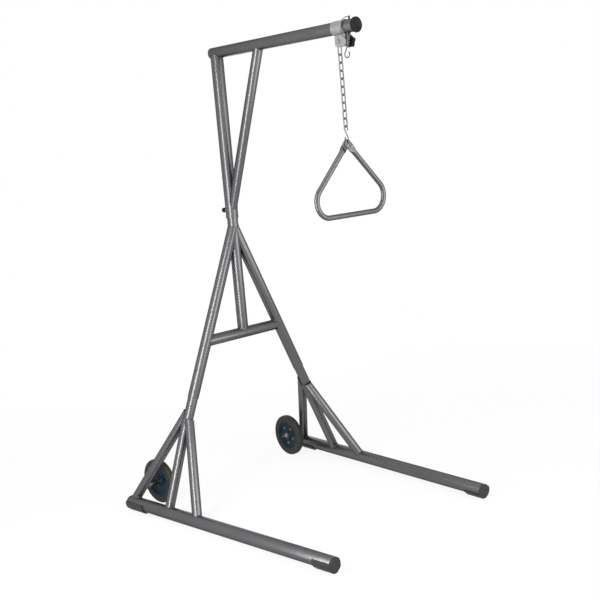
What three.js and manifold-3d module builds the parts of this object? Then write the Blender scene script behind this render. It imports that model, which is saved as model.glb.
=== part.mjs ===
// Free-standing bed trapeze: a base of two side frames, an A-frame, a mast with a boom,
// and a hanger with a chain and a triangular handle. Millimetres, +Z up, +X along the boom.
// Lengths along X are measured from the mast's axis; the whole then stands centred on its origin.

import * as THREE from 'three';
import { mergeVertices } from 'three/addons/utils/BufferGeometryUtils.js';
import Module from 'manifold-3d';

const wasm = await Module();
wasm.setup();

// Gaps and cuts
const weld_gap = 0.3;
const running_gap = 0.35;
const overrun = 6;

// Facets round a turned surface
const tube_sides = 20;
const wheel_sides = 30;
const small_sides = 14;
const wire_sides = 6;
const pin_sides = 10;
const curve_steps = 4;

// Base tubes
const base_radius = 25.4;
const base_wall = 2;
const base_rear_reach = 230;
const base_front_reach = 872;
const base_half_spacing = 466;
const toe_in_degrees = 3.6;

// Feet: rubber sleeves rolled a little outboard, with a disc over the tube's end and a narrow sole
const sole_thickness = 6;
const sole_half_width = 9;
const pad_wall = 4.3;
const pad_roll_degrees = 20;
const pad_disc_thickness = 7;
const rear_pad_length = 96;
const front_pad_length = 76;

// Struts and knuckle, where the struts meet below the leg
const strut_radius = 19.05;
const strut_wall = 2;
const strut_rear_inset = 9;
const strut_rear_foot = strut_rear_inset - base_rear_reach;
const strut_middle_foot = 5;
const strut_front_foot = 178;
const strut_meeting_x = -9;
const knuckle_half_spacing = 311;
const knuckle_height = 404;

// Legs of the A-frame
const leg_radius = 22.225;
const leg_wall = 1.6;
const leg_start = 56;
const stub_wall = 2;
const stub_insertion = 95;
const stub_drop = 32;
const apex_height = 1107.4;
const brace_radius = 22.225;
const brace_wall = 2;
const brace_height = 666.5;

// Snap buttons that hold the legs on their stubs
const button_radius = 5;
const button_above_leg_end = 36;
const button_stand_out = 3;
const button_leaf_width = 10;
const button_leaf_length = 56;
const button_leaf_thickness = 1.2;
const button_leaf_clearance = 1.4;

// Mast
const post_radius = 25.4;
const post_wall = 2.85;
const post_rise = 34.6;
const post_bottom = apex_height + post_rise;
const post_insertion = 110;
const centre_post_wall = 2;
const post_horn_share = 0.35;
const mast_brace_radius = 19.05;
const mast_brace_wall = 2;
const mast_brace_rise = 23;
const mast_brace_foot_height = post_bottom + mast_brace_rise;
const mast_brace_reach = 259;

// Boom
const boom_radius = 22.225;
const boom_wall = 2.2;
const boom_height = 1799.5;
const boom_rear = -27;
const boom_front = 765;
const plug_depth = 18;
const plug_crown = 3.8;
const cap_radius = 26.6;
const cap_thickness = 7.6;
const cap_edge = 1.6;
const cap_stem_depth = 14;

// Lock screw at the foot of the mast
const lock_rise = 33;
const lock_height = post_bottom + lock_rise;
const lock_boss_radius = 8.5;
const lock_boss_length = 6;
const lock_screw_radius = 4;
const lock_ball_radius = 10.4;
const lock_ball_reach = 48;

// Wheels
const axle_height = 93.5;
const wheel_inset = 88;
const tyre_radius = 92;
const tyre_width = 27;
const tyre_shoulder = 9;
const tyre_chamfer = 3;
const hub_radius = 61;
const hub_width = 24;
const hub_rim_thickness = 5;
const hub_web_thickness = 9;
const hub_boss_radius = 19;
const bearing_radius = 12;
const bearing_width = 28;
const axle_radius = 5;
const axle_tube_radius = 12;
const axle_engagement = 30;
const axle_head_radius = 8.5;
const axle_head_thickness = 6;

// Hanger strap
const hanger_x = 683;
const strap_rear = 667;
const strap_front = 723;
const strap_thickness = 2.6;
const ear_front = 717;
const ear_gap = 5.8;
const ear_drop = 64.5;
const ear_bottom = boom_height - ear_drop;
const ear_corner = 12;
const bolt_drop = 44.5;
const bolt_height = boom_height - bolt_drop;
const bolt_radius = 4;
const bolt_head_radius = 7;
const bolt_head_thickness = 4.5;
const spacer_radius = 6;
const knob_face = 46;
const knob_thickness = 16;
const knob_radius = 20.5;
const knob_lobe_height = 2.1;
const knob_lobes = 5;
const knob_lobe_degrees = -56;
const knob_points = 40;
const knob_hub_radius = 11;
const knob_hub_length = 3;

// Chain
const wire_radius = 2.3;
const link_half_width = 7.7;
const link_pitch = 27.4;
const link_count = 9;
const link_arc_steps = 6;
const top_link_drop = 90.2;
const top_link_joint_height = boom_height - top_link_drop;

// Hooks bent from wire: the one on the chain and the spare one on the clamp bolt
const hook_wire_radius = 2.3;
const hook_radius = 8.3;
const hook_half_pitch = 19;
const hook_open_degrees = -52;
const spare_wire_radius = 2.2;
const spare_radius = 11.5;
const spare_half_pitch = 20.5;
const spare_open_degrees = -35;
const spare_y = 35;
const hook_steps = 32;

// Handle
const handle_radius = 9.5;
const handle_rise = 257.7;
const handle_corner_radius = 57;
const handle_corner_half_spacing = 113;
const handle_steps = 34;
const handle_arc_steps = 12;
const handle_sides = 10;
const tab_radius = 14.5;
const tab_thickness = 3.5;
const tab_length = 34;
const tab_shoulder = 25;
const tab_drop = 6;
const tab_hole_radius = 4.4;
const tab_seat = 0.7;
const rivet_radius = 3;
const rivet_head_radius = 5;
const rivet_head_thickness = 2;
const rivet_drop = 14;

// Stop pin and its wire bail
const pin_x = 734;
const pin_roll_degrees = 9.6;
const pin_radius = 3.6;
const pin_tip_reach = 36;
const pin_tip_taper = 3;
const pin_collar_radius = 8;
const pin_collar_length = 10;
const pin_neck_radius = 5.5;
const pin_neck_length = 13;
const bail_radius = 1.3;
const bail_side = 9;
const bail_reach = 27.6;
const bail_steps = 22;
const bail_sides = 6;

// Finishes
const paint = new THREE.MeshStandardMaterial({ color: 0x76767a, roughness: 0.42, metalness: 0.6 });
const rubber = new THREE.MeshStandardMaterial({ color: 0x2c2c2e, roughness: 0.85, metalness: 0 });
const plastic = new THREE.MeshStandardMaterial({ color: 0x1d1d1f, roughness: 0.5, metalness: 0 });
const zinc = new THREE.MeshStandardMaterial({ color: 0xa6a6a4, roughness: 0.35, metalness: 0.85 });
const blackened = new THREE.MeshStandardMaterial({ color: 0x4a4a4c, roughness: 0.4, metalness: 0.8 });
const hub_paint = new THREE.MeshStandardMaterial({ color: 0x1c3744, roughness: 0.45, metalness: 0.1 });

// Worked out from the dimensions above
const axis_x = new THREE.Vector3(1, 0, 0);
const axis_y = new THREE.Vector3(0, 1, 0);
const axis_z = new THREE.Vector3(0, 0, 1);
const full_turn = 2 * Math.PI;
const toe_in = THREE.MathUtils.degToRad(toe_in_degrees);
const base_height = base_radius + sole_thickness;
const stub_radius = leg_radius - leg_wall - running_gap;
const centre_post_radius = post_radius - post_wall - running_gap;
const pad_radius = base_radius + pad_wall;
const pad_disc_radius = (base_radius + pad_radius) / 2;
const reach_of_everything = 2 * boom_height;
const apex = new THREE.Vector3(0, 0, apex_height);
const wire_pass = 2 * wire_radius + weld_gap;

// A closed manifold solid from any three.js geometry, with its faces turned out
function solid(geometry) {
  const bare = geometry.clone();
  bare.deleteAttribute('normal');
  bare.deleteAttribute('uv');
  const merged = mergeVertices(bare);
  const places = merged.attributes.position;
  const triangles = [];
  const corners = [new THREE.Vector3(), new THREE.Vector3(), new THREE.Vector3()];
  let signed_volume = 0;
  for (let i = 0; i < merged.index.count; i += 3) {
    const ids = [0, 1, 2].map((k) => merged.index.getX(i + k));
    if (new Set(ids).size < ids.length) {
      continue;
    }
    ids.forEach((id, k) => corners[k].fromBufferAttribute(places, id));
    signed_volume += corners[0].dot(corners[1].clone().cross(corners[2]));
    triangles.push(ids);
  }
  const outward = signed_volume < 0 ? triangles.map(([a, b, c]) => [a, c, b]) : triangles;
  const vertProperties = Float32Array.from(places.array);
  const triVerts = Uint32Array.from(outward.flat());
  return new wasm.Manifold(new wasm.Mesh({ numProp: 3, vertProperties, triVerts }));
}

// The three.js geometry of a manifold solid
function geometryOf(body) {
  const mesh = body.getMesh();
  const geometry = new THREE.BufferGeometry();
  geometry.setAttribute('position', new THREE.BufferAttribute(Float32Array.from(mesh.vertProperties), 3));
  geometry.setIndex(new THREE.BufferAttribute(Uint32Array.from(mesh.triVerts), 1));
  geometry.computeVertexNormals();
  return geometry;
}

// The largest piece that a cut leaves
function mainPiece(body) {
  const pieces = body.decompose();
  return pieces.reduce((best, piece) => (piece.volume() > best.volume() ? piece : best));
}

// A named mesh of one solid
function named(name, body, material) {
  const mesh = new THREE.Mesh(geometryOf(mainPiece(body)), material);
  mesh.name = name;
  return mesh;
}

// Geometry made along +Y from the origin, turned to a direction and moved to a point
function laid(geometry, start, direction) {
  const turn = new THREE.Quaternion().setFromUnitVectors(axis_y, direction);
  return geometry.applyQuaternion(turn).translate(start.x, start.y, start.z);
}

function directionFrom(start, end) {
  return end.clone().sub(start).normalize();
}

function along(start, direction, distance) {
  return start.clone().addScaledVector(direction, distance);
}

// A round bar between two points
function rod(start, end, radius, sides = tube_sides) {
  const length = start.distanceTo(end);
  const geometry = new THREE.CylinderGeometry(radius, radius, length, sides);
  geometry.translate(0, length / 2, 0);
  return solid(laid(geometry, start, directionFrom(start, end)));
}

// The same bar run on past both its ends, for cutting
function longRod(start, end, radius, sides = tube_sides) {
  const direction = directionFrom(start, end);
  return rod(along(start, direction, -overrun), along(end, direction, overrun), radius, sides);
}

// A round tube between two points, open at both ends
function pipe(start, end, radius, wall) {
  return rod(start, end, radius).subtract(longRod(start, end, radius - wall));
}

// A turned piece: a profile of (radius, distance along the axis) pairs that closes on itself
function turned(profile, start, direction, sides = small_sides) {
  const points = [...profile, profile[0]].map(([radius, distance]) => new THREE.Vector2(radius, distance));
  return solid(laid(new THREE.LatheGeometry(points, sides), start, direction));
}

// Everything on one side of a plane through a point
function halfSpace(point, direction) {
  const size = reach_of_everything;
  const geometry = new THREE.BoxGeometry(size, size, size);
  geometry.translate(0, size / 2, 0);
  return solid(laid(geometry, point, direction));
}

// A round wire or bar swept along a curve
function swept(curve, radius, steps, sides) {
  const section = new THREE.Shape();
  const corners = Array.from({ length: sides }, (_, i) => (i * full_turn) / sides);
  section.setFromPoints(corners.map((a) => new THREE.Vector2(radius * Math.cos(a), radius * Math.sin(a))));
  return solid(new THREE.ExtrudeGeometry(section, { steps, extrudePath: curve, bevelEnabled: false }));
}

// A flat plate: an outline in two named world directions, given a thickness along the third
function plate(shape, thickness, across, up) {
  const geometry = new THREE.ExtrudeGeometry(shape, { depth: thickness, bevelEnabled: false });
  const through = across.clone().cross(up);
  geometry.translate(0, 0, -thickness / 2);
  geometry.applyMatrix4(new THREE.Matrix4().makeBasis(across, up, through));
  return solid(geometry);
}

// A point on a base tube's axis, at a distance forward of the mast
function baseAxis(side, x) {
  return new THREE.Vector3(x, side * (base_half_spacing - x * Math.tan(toe_in)), base_height);
}

// Profile of a low crown, from its tip to the full radius
function crownProfile(radius, height) {
  return Array.from({ length: curve_steps + 1 }, (_, i) => {
    const angle = (i / curve_steps) * (Math.PI / 2);
    return [radius * Math.sin(angle), height * (1 - Math.cos(angle))];
  });
}

function baseTube(side) {
  return pipe(baseAxis(side, -base_rear_reach), baseAxis(side, base_front_reach), base_radius, base_wall);
}

// A base tube's outer surface grown by the weld gap and run on, for coping the struts
function baseCope(side) {
  const start = baseAxis(side, -base_rear_reach);
  return longRod(start, baseAxis(side, base_front_reach), base_radius + weld_gap);
}

// A base tube's whole outer shape grown by the weld gap, for hollowing the feet
function baseBlank(side) {
  const start = baseAxis(side, -base_rear_reach);
  const end = baseAxis(side, base_front_reach);
  const direction = directionFrom(start, end);
  return rod(along(start, direction, -weld_gap), along(end, direction, weld_gap), base_radius + weld_gap);
}

// Foot at one end of a base tube: half a sleeve under the tube, rolled outboard, a sole, and a disc
// that touches the line of the tube above and of the sleeve below
function foot(side, sleeve_x, end_x) {
  const inner = baseAxis(side, sleeve_x);
  const end = baseAxis(side, end_x);
  const direction = directionFrom(inner, end);
  const face = along(end, direction, pad_disc_thickness);
  const disc_start = along(end, axis_z, -pad_wall / 2);
  const disc_end = along(face, axis_z, -pad_wall / 2);
  const roll = THREE.MathUtils.degToRad(pad_roll_degrees);
  const open_side = new THREE.Vector3(0, -side * Math.sin(roll), Math.cos(roll));
  const length = inner.distanceTo(face);
  const sole = new THREE.BoxGeometry(2 * sole_half_width, length, base_height);
  sole.translate(0, length / 2, -base_height / 2);
  return rod(inner, face, pad_radius)
    .subtract(halfSpace(inner, open_side))
    .add(rod(disc_start, disc_end, pad_disc_radius))
    .add(solid(laid(sole, inner, direction)))
    .subtract(baseBlank(side));
}

function knuckleOf(side) {
  return new THREE.Vector3(0, side * knuckle_half_spacing, knuckle_height);
}

function legDirection(side) {
  return directionFrom(knuckleOf(side), apex);
}

// The lower end of a side frame's stub
function stubFoot(side) {
  return along(knuckleOf(side), legDirection(side), -stub_drop);
}

// The point where the middle lines of a side frame's struts meet
function strutMeeting(side) {
  return knuckleOf(side).setX(strut_meeting_x);
}

// A strut's whole tube, coped on the base tube
function strutTube(side, x) {
  const start = baseAxis(side, x);
  const meeting = strutMeeting(side);
  const top = along(meeting, directionFrom(start, meeting), strut_radius);
  return pipe(start, top, strut_radius, strut_wall).subtract(baseCope(side));
}

// Everything above the stub's lower end, which cuts the struts that butt against it
function aboveStubFoot(side) {
  const up = legDirection(side);
  return halfSpace(along(stubFoot(side), up, -weld_gap), up);
}

// What the rear and front struts are coped against, and where they end at the middle strut
function beside(side, away) {
  const split = new THREE.Vector3(strut_meeting_x + away * weld_gap, 0, 0);
  return longRod(baseAxis(side, strut_middle_foot), strutMeeting(side), strut_radius + weld_gap)
    .add(halfSpace(split, new THREE.Vector3(-away, 0, 0)));
}

// The rear strut, coped on the stub's side as well
function rearStrut(side) {
  const up = legDirection(side);
  const stub_start = along(stubFoot(side), up, -weld_gap);
  const stub_end = along(knuckleOf(side), up, leg_start);
  return strutTube(side, strut_rear_foot)
    .subtract(beside(side, -1))
    .subtract(rod(stub_start, stub_end, stub_radius + weld_gap));
}

function middleStrut(side) {
  return strutTube(side, strut_middle_foot).subtract(aboveStubFoot(side));
}

function frontStrut(side) {
  return strutTube(side, strut_front_foot).subtract(beside(side, 1)).subtract(aboveStubFoot(side));
}

// The snap button's hole, and the place of the button along the leg
function buttonPlace(side) {
  return along(knuckleOf(side), legDirection(side), leg_start + button_above_leg_end);
}

function buttonHole(side) {
  const middle = buttonPlace(side);
  const out = along(middle, axis_x, -leg_radius - overrun);
  return rod(middle, out, button_radius + running_gap, pin_sides);
}

function stubTube(side) {
  const top = along(knuckleOf(side), legDirection(side), leg_start + stub_insertion);
  return pipe(stubFoot(side), top, stub_radius, stub_wall).subtract(buttonHole(side));
}

// Leg: a sleeve on the stub below, coped on the centre post above
function leg(side) {
  const bottom = along(knuckleOf(side), legDirection(side), leg_start);
  const post_foot = new THREE.Vector3(0, 0, brace_height);
  const middle = new THREE.Vector3(0, side * weld_gap, 0);
  return pipe(bottom, apex, leg_radius, leg_wall)
    .subtract(longRod(post_foot, apex, centre_post_radius + weld_gap))
    .subtract(halfSpace(middle, new THREE.Vector3(0, -side, 0)))
    .subtract(buttonHole(side));
}

// Snap button with the leaf that carries it inside the stub
function snapButton(side) {
  const middle = buttonPlace(side);
  const inner = stub_radius - stub_wall - button_leaf_clearance;
  const leaf_place = along(middle, axis_x, -inner + button_leaf_thickness / 2);
  const leaf = new THREE.BoxGeometry(button_leaf_width, button_leaf_length, button_leaf_thickness);
  const up = legDirection(side);
  leaf.applyMatrix4(new THREE.Matrix4().makeBasis(up.clone().cross(axis_x).negate(), up, axis_x));
  leaf.translate(leaf_place.x, leaf_place.y, leaf_place.z);
  const tip = along(middle, axis_x, -leg_radius - button_stand_out);
  return rod(leaf_place, tip, button_radius, pin_sides).add(solid(leaf));
}

// Cross brace between the legs, coped on both
function crossBrace() {
  const half = (apex_height - brace_height) * (knuckle_half_spacing / (apex_height - knuckle_height));
  const right = new THREE.Vector3(0, -half, brace_height);
  const left = new THREE.Vector3(0, half, brace_height);
  return [-1, 1].reduce(
    (tube, side) => tube.subtract(longRod(knuckleOf(side), apex, leg_radius + weld_gap)),
    pipe(right, left, brace_radius, brace_wall),
  );
}

// Centre post: from the cross brace through the apex and up into the mast
function centrePost() {
  const foot = new THREE.Vector3(0, 0, brace_height);
  const top = new THREE.Vector3(0, 0, post_bottom + post_insertion);
  const half = new THREE.Vector3(0, knuckle_half_spacing, 0);
  const brace_end = foot.clone().add(half);
  return pipe(foot, top, centre_post_radius, centre_post_wall)
    .subtract(rod(foot.clone().sub(half), brace_end, brace_radius + weld_gap));
}

const boom_rear_point = new THREE.Vector3(boom_rear, 0, boom_height);
const boom_front_point = new THREE.Vector3(boom_front, 0, boom_height);
const lock_point = new THREE.Vector3(0, 0, lock_height);
const backward = axis_x.clone().negate();

function lockHole(radius) {
  return rod(lock_point, along(lock_point, backward, lock_ball_reach), radius, pin_sides);
}

// Rear post of the mast: a sleeve on the centre post, coped under the boom
function rearPost() {
  const bottom = new THREE.Vector3(0, 0, post_bottom);
  const top = new THREE.Vector3(0, 0, boom_height - post_horn_share * boom_radius);
  return pipe(bottom, top, post_radius, post_wall)
    .subtract(longRod(boom_rear_point, boom_front_point, boom_radius + weld_gap))
    .subtract(lockHole(lock_screw_radius + weld_gap));
}

// Front brace of the mast, coped on the rear post and under the boom
function frontBrace() {
  const bottom = new THREE.Vector3(0, 0, mast_brace_foot_height);
  const top = new THREE.Vector3(mast_brace_reach, 0, boom_height);
  const post_top = new THREE.Vector3(0, 0, boom_height);
  const post_foot = new THREE.Vector3(0, 0, post_bottom);
  return pipe(bottom, top, mast_brace_radius, mast_brace_wall)
    .subtract(longRod(post_foot, post_top, post_radius + weld_gap))
    .subtract(longRod(boom_rear_point, boom_front_point, boom_radius + weld_gap));
}

// The stop pin's own directions: up along the pin, and out to the near side of the boom
const pin_roll = THREE.MathUtils.degToRad(pin_roll_degrees);
const pin_middle = new THREE.Vector3(pin_x, 0, boom_height);
const pin_up = new THREE.Vector3(0, Math.sin(pin_roll), Math.cos(pin_roll));
const pin_out = new THREE.Vector3(0, -Math.cos(pin_roll), Math.sin(pin_roll));

function boomTube() {
  const hole_reach = boom_radius + overrun;
  const hole_bottom = along(pin_middle, pin_up, -hole_reach);
  const hole_top = along(pin_middle, pin_up, hole_reach);
  return pipe(boom_rear_point, boom_front_point, boom_radius, boom_wall)
    .subtract(rod(hole_bottom, hole_top, pin_radius + weld_gap, pin_sides));
}

// Rear plug of the boom: a stem inside the tube and a low crown over its end
function rearPlug() {
  const stem = boom_radius - boom_wall - weld_gap;
  const crown = crownProfile(boom_radius, plug_crown).map(([radius, distance]) => [radius, -distance]);
  const head = crown.map(([radius, distance]) => [radius, distance + plug_crown]);
  const profile = [[0, -plug_depth], [stem, -plug_depth], [stem, 0], ...head.reverse()];
  return turned(profile, along(boom_rear_point, backward, weld_gap), backward, tube_sides);
}

// Front cap of the boom: a wide flange and a stem inside the tube
function frontCap() {
  const stem = boom_radius - boom_wall - weld_gap;
  const profile = [
    [0, -cap_stem_depth],
    [stem, -cap_stem_depth],
    [stem, 0],
    [cap_radius, 0],
    [cap_radius, cap_thickness - cap_edge],
    [cap_radius - cap_edge, cap_thickness],
    [0, cap_thickness],
  ];
  return turned(profile, along(boom_front_point, axis_x, weld_gap), axis_x, tube_sides);
}

function lockBoss() {
  const end = along(lock_point, backward, post_radius + lock_boss_length);
  const post_foot = new THREE.Vector3(0, 0, post_bottom);
  const post_top = new THREE.Vector3(0, 0, boom_height);
  return rod(lock_point, end, lock_boss_radius, small_sides)
    .subtract(rod(post_foot, post_top, post_radius + weld_gap))
    .subtract(lockHole(lock_screw_radius + weld_gap));
}

function lockScrew() {
  const tip = along(lock_point, backward, centre_post_radius + weld_gap);
  return rod(tip, along(lock_point, backward, lock_ball_reach), lock_screw_radius, pin_sides);
}

function lockBall() {
  const centre = along(lock_point, backward, lock_ball_reach);
  const ball = new THREE.SphereGeometry(lock_ball_radius, small_sides, pin_sides);
  ball.translate(centre.x, centre.y, centre.z);
  const socket_end = along(centre, backward, weld_gap);
  return solid(ball).subtract(rod(lock_point, socket_end, lock_screw_radius + weld_gap, pin_sides));
}

// The wheel's place: straight inboard of the rear strut, square to the base tube
function wheelOutward(side) {
  return new THREE.Vector3(Math.sin(toe_in), side * Math.cos(toe_in), 0);
}

function strutAtAxle(side) {
  const foot = baseAxis(side, strut_rear_foot);
  const share = (axle_height - base_height) / (knuckle_height - base_height);
  return foot.lerp(strutMeeting(side), share);
}

function wheelCentre(side) {
  return along(strutAtAxle(side), wheelOutward(side), -wheel_inset);
}

// Tyre: a round-shouldered ring
function tyre() {
  const half = tyre_width / 2;
  const bead = hub_radius + weld_gap;
  const shoulder_start = tyre_radius - tyre_shoulder;
  const profile = [
    [bead, -half + tyre_chamfer],
    [bead + tyre_chamfer, -half],
    [shoulder_start, -half],
    [tyre_radius - tyre_chamfer, -half + tyre_chamfer],
    [tyre_radius, -half + tyre_shoulder],
    [tyre_radius, half - tyre_shoulder],
    [tyre_radius - tyre_chamfer, half - tyre_chamfer],
    [shoulder_start, half],
    [bead + tyre_chamfer, half],
    [bead, half - tyre_chamfer],
  ];
  return turned(profile, new THREE.Vector3(), axis_y, wheel_sides);
}

// Hub: a rim, a thin web and a boss round the bearing
function hub() {
  const half = hub_width / 2;
  const web = hub_web_thickness / 2;
  const bore = bearing_radius + weld_gap;
  const rim = hub_radius - hub_rim_thickness;
  const slope = hub_rim_thickness;
  const profile = [
    [bore, -half],
    [hub_boss_radius, -half],
    [hub_boss_radius + slope, -web],
    [rim - slope, -web],
    [rim, -half],
    [hub_radius, -half],
    [hub_radius, half],
    [rim, half],
    [rim - slope, web],
    [hub_boss_radius + slope, web],
    [hub_boss_radius, half],
    [bore, half],
  ];
  return turned(profile, new THREE.Vector3(), axis_y, wheel_sides);
}

function wheelBearing() {
  const half = bearing_width / 2;
  const bore = axle_radius + weld_gap;
  const profile = [[bore, -half], [bearing_radius, -half], [bearing_radius, half], [bore, half]];
  return turned(profile, new THREE.Vector3(), axis_y, small_sides);
}

// Axle tube: welded to the strut, bored for the axle bolt
function axleTube(side) {
  const strut = strutAtAxle(side);
  const outward = wheelOutward(side);
  const inner_end = along(wheelCentre(side), outward, bearing_width / 2 + running_gap);
  const bore = longRod(inner_end, strut, axle_radius + weld_gap, pin_sides);
  return rod(inner_end, strut, axle_tube_radius, small_sides)
    .subtract(longRod(baseAxis(side, strut_rear_foot), strutMeeting(side), strut_radius + weld_gap))
    .subtract(bore);
}

function axleBolt(side) {
  const centre = wheelCentre(side);
  const outward = wheelOutward(side);
  const face = bearing_width / 2 + running_gap;
  const reach = face + axle_engagement;
  const profile = [
    [0, -face - axle_head_thickness],
    [axle_head_radius, -face - axle_head_thickness],
    [axle_head_radius, -face],
    [axle_radius, -face],
    [axle_radius, reach],
    [0, reach],
  ];
  return turned(profile, centre, outward, pin_sides);
}

// Strap: a band round the boom that closes into two ears, with the ears' outline cut from the side
function hangerStrap() {
  const inner = boom_radius + weld_gap;
  const outer = inner + strap_thickness;
  const ear_inner = ear_gap / 2;
  const ear_outer = ear_inner + strap_thickness;
  const rear = new THREE.Vector3(strap_rear, 0, boom_height);
  const front = new THREE.Vector3(strap_front, 0, boom_height);
  const ear_depth = boom_height - ear_bottom;
  const block = new THREE.BoxGeometry(strap_front - strap_rear, 2 * ear_outer, ear_depth);
  block.translate((strap_front + strap_rear) / 2, 0, boom_height - ear_depth / 2);
  const slot = new THREE.BoxGeometry(reach_of_everything, ear_gap, reach_of_everything);
  slot.translate(0, 0, boom_height - reach_of_everything / 2);
  const bolt = new THREE.Vector3(hanger_x, -outer, bolt_height);
  const bolt_end = new THREE.Vector3(hanger_x, outer, bolt_height);
  return rod(rear, front, outer)
    .add(solid(block))
    .subtract(longRod(rear, front, inner))
    .subtract(solid(slot))
    .intersect(earOutline())
    .subtract(rod(bolt, bolt_end, bolt_radius + weld_gap, pin_sides));
}

// The strap's outline seen from the side: full length round the boom, ears with round corners below
function earOutline() {
  const top = boom_height + boom_radius + strap_thickness + overrun;
  const neck = boom_height - boom_radius - strap_thickness;
  const shape = new THREE.Shape();
  shape.moveTo(strap_rear - overrun, top);
  shape.lineTo(strap_rear - overrun, neck);
  shape.lineTo(strap_rear, neck);
  shape.lineTo(strap_rear, ear_bottom + ear_corner);
  shape.absarc(strap_rear + ear_corner, ear_bottom + ear_corner, ear_corner, Math.PI, 1.5 * Math.PI);
  shape.absarc(ear_front - ear_corner, ear_bottom + ear_corner, ear_corner, 1.5 * Math.PI, full_turn);
  shape.lineTo(ear_front, neck);
  shape.lineTo(strap_front + overrun, neck);
  shape.lineTo(strap_front + overrun, top);
  const outline = new THREE.Shape(shape.getPoints(curve_steps).map((point) => point.clone()));
  return plate(outline, 2 * (boom_radius + strap_thickness + overrun), axis_x, axis_z);
}

const bolt_ear_face = ear_gap / 2 + strap_thickness + weld_gap;

function clampBolt() {
  const profile = [
    [0, -bolt_ear_face - bolt_head_thickness],
    [bolt_head_radius, -bolt_ear_face - bolt_head_thickness],
    [bolt_head_radius, -bolt_ear_face],
    [bolt_radius, -bolt_ear_face],
    [bolt_radius, knob_face + knob_thickness / 2],
    [0, knob_face + knob_thickness / 2],
  ];
  return turned(profile, new THREE.Vector3(hanger_x, 0, bolt_height), axis_y, pin_sides);
}

function clampSpacer() {
  const bore = bolt_radius + weld_gap;
  const start = bolt_ear_face;
  const end = knob_face - knob_hub_length - running_gap;
  const profile = [[bore, start], [spacer_radius, start], [spacer_radius, end], [bore, end]];
  return turned(profile, new THREE.Vector3(hanger_x, 0, bolt_height), axis_y, pin_sides);
}

// Knob: a five-lobed disc on a short hub
function clampKnob() {
  const first_lobe = THREE.MathUtils.degToRad(knob_lobe_degrees);
  const points = Array.from({ length: knob_points }, (_, i) => {
    const angle = (i * full_turn) / knob_points;
    const radius = knob_radius + knob_lobe_height * Math.cos(knob_lobes * (angle - first_lobe));
    return new THREE.Vector2(radius * Math.cos(angle), radius * Math.sin(angle));
  });
  const disc = plate(new THREE.Shape(points), knob_thickness, axis_x, axis_z);
  const middle = new THREE.Vector3(hanger_x, knob_face + knob_thickness / 2, bolt_height);
  const hub_end = new THREE.Vector3(hanger_x, knob_face - knob_hub_length, bolt_height);
  const socket_start = along(hub_end, axis_y, -overrun);
  const socket_end = along(middle, axis_y, weld_gap);
  return disc
    .translate(middle.toArray())
    .add(rod(hub_end, middle, knob_hub_radius, small_sides))
    .subtract(rod(socket_start, socket_end, bolt_radius + weld_gap, pin_sides));
}

// A chain link: two straight sides and two half circles, in its own XZ plane, centred on the origin
class LinkCurve extends THREE.Curve {
  constructor(half_width, half_length) {
    super();
    this.half_width = half_width;
    this.straight = 2 * (half_length - half_width);
    this.arc = Math.PI * half_width;
  }

  getPoint(t) {
    const total = 2 * (this.straight + this.arc);
    const half = total / 2;
    const distance = (t * total) % half;
    const flip = (t * total) % total < half ? 1 : -1;
    const end = this.straight / 2;
    if (distance < this.straight) {
      return new THREE.Vector3(flip * this.half_width, 0, flip * (distance - end));
    }
    const angle = (distance - this.straight) / this.half_width;
    const x = this.half_width * Math.cos(angle);
    return new THREE.Vector3(flip * x, 0, flip * (end + this.half_width * Math.sin(angle)));
  }
}

// The closed ring of a link, joined from rings of points set square to the wire
function chainLink(half_width, half_length) {
  const curve = new LinkCurve(half_width, half_length);
  const total = 2 * (curve.straight + curve.arc);
  const stations = [];
  for (const start of [curve.straight, 2 * curve.straight + curve.arc]) {
    for (let i = 0; i <= link_arc_steps; i += 1) {
      stations.push((start + (i / link_arc_steps) * curve.arc) / total);
    }
  }
  const positions = [];
  const indices = [];
  stations.forEach((t, i) => {
    const centre = curve.getPoint(t % 1);
    const foot = new THREE.Vector3(0, 0, Math.sign(centre.z) * (curve.straight / 2));
    const outward = centre.clone().sub(foot).normalize();
    for (let k = 0; k < wire_sides; k += 1) {
      const angle = (k * full_turn) / wire_sides;
      const beside_wire = along(centre, outward, wire_radius * Math.cos(angle));
      const point = along(beside_wire, axis_y, wire_radius * Math.sin(angle));
      positions.push(point.x, point.y, point.z);
      const next_ring = ((i + 1) % stations.length) * wire_sides;
      const next_side = (k + 1) % wire_sides;
      const here = i * wire_sides;
      indices.push(here + k, here + next_side, next_ring + k);
      indices.push(here + next_side, next_ring + next_side, next_ring + k);
    }
  });
  const geometry = new THREE.BufferGeometry();
  geometry.setAttribute('position', new THREE.Float32BufferAttribute(positions, 3));
  geometry.setIndex(indices);
  return solid(geometry);
}

// An S-hook's centre line in its own XZ plane: two arcs joined by a straight shank through the origin
class HookCurve extends THREE.Curve {
  constructor(radius, half_pitch, open_degrees) {
    super();
    this.radius = radius;
    this.half_pitch = half_pitch;
    this.lean = Math.asin(radius / half_pitch);
    this.start_angle = THREE.MathUtils.degToRad(open_degrees);
    this.arc = (Math.PI + this.lean - this.start_angle) * radius;
    this.shank = radius / Math.tan(this.lean);
    this.half_length = this.arc + this.shank;
  }

  getPoint(t) {
    const upper = 2 * t <= 1;
    const distance = 2 * (upper ? t : 1 - t) * this.half_length;
    const sign = upper ? 1 : -1;
    if (distance < this.arc) {
      const angle = this.start_angle + distance / this.radius;
      const z = this.half_pitch + this.radius * Math.sin(angle);
      return new THREE.Vector3(sign * this.radius * Math.cos(angle), 0, sign * z);
    }
    const left = this.half_length - distance;
    return new THREE.Vector3(-sign * left * Math.sin(this.lean), 0, sign * left * Math.cos(this.lean));
  }
}

function hook(radius, half_pitch, open_degrees, thickness) {
  return swept(new HookCurve(radius, half_pitch, open_degrees), thickness, hook_steps, wire_sides);
}

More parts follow.
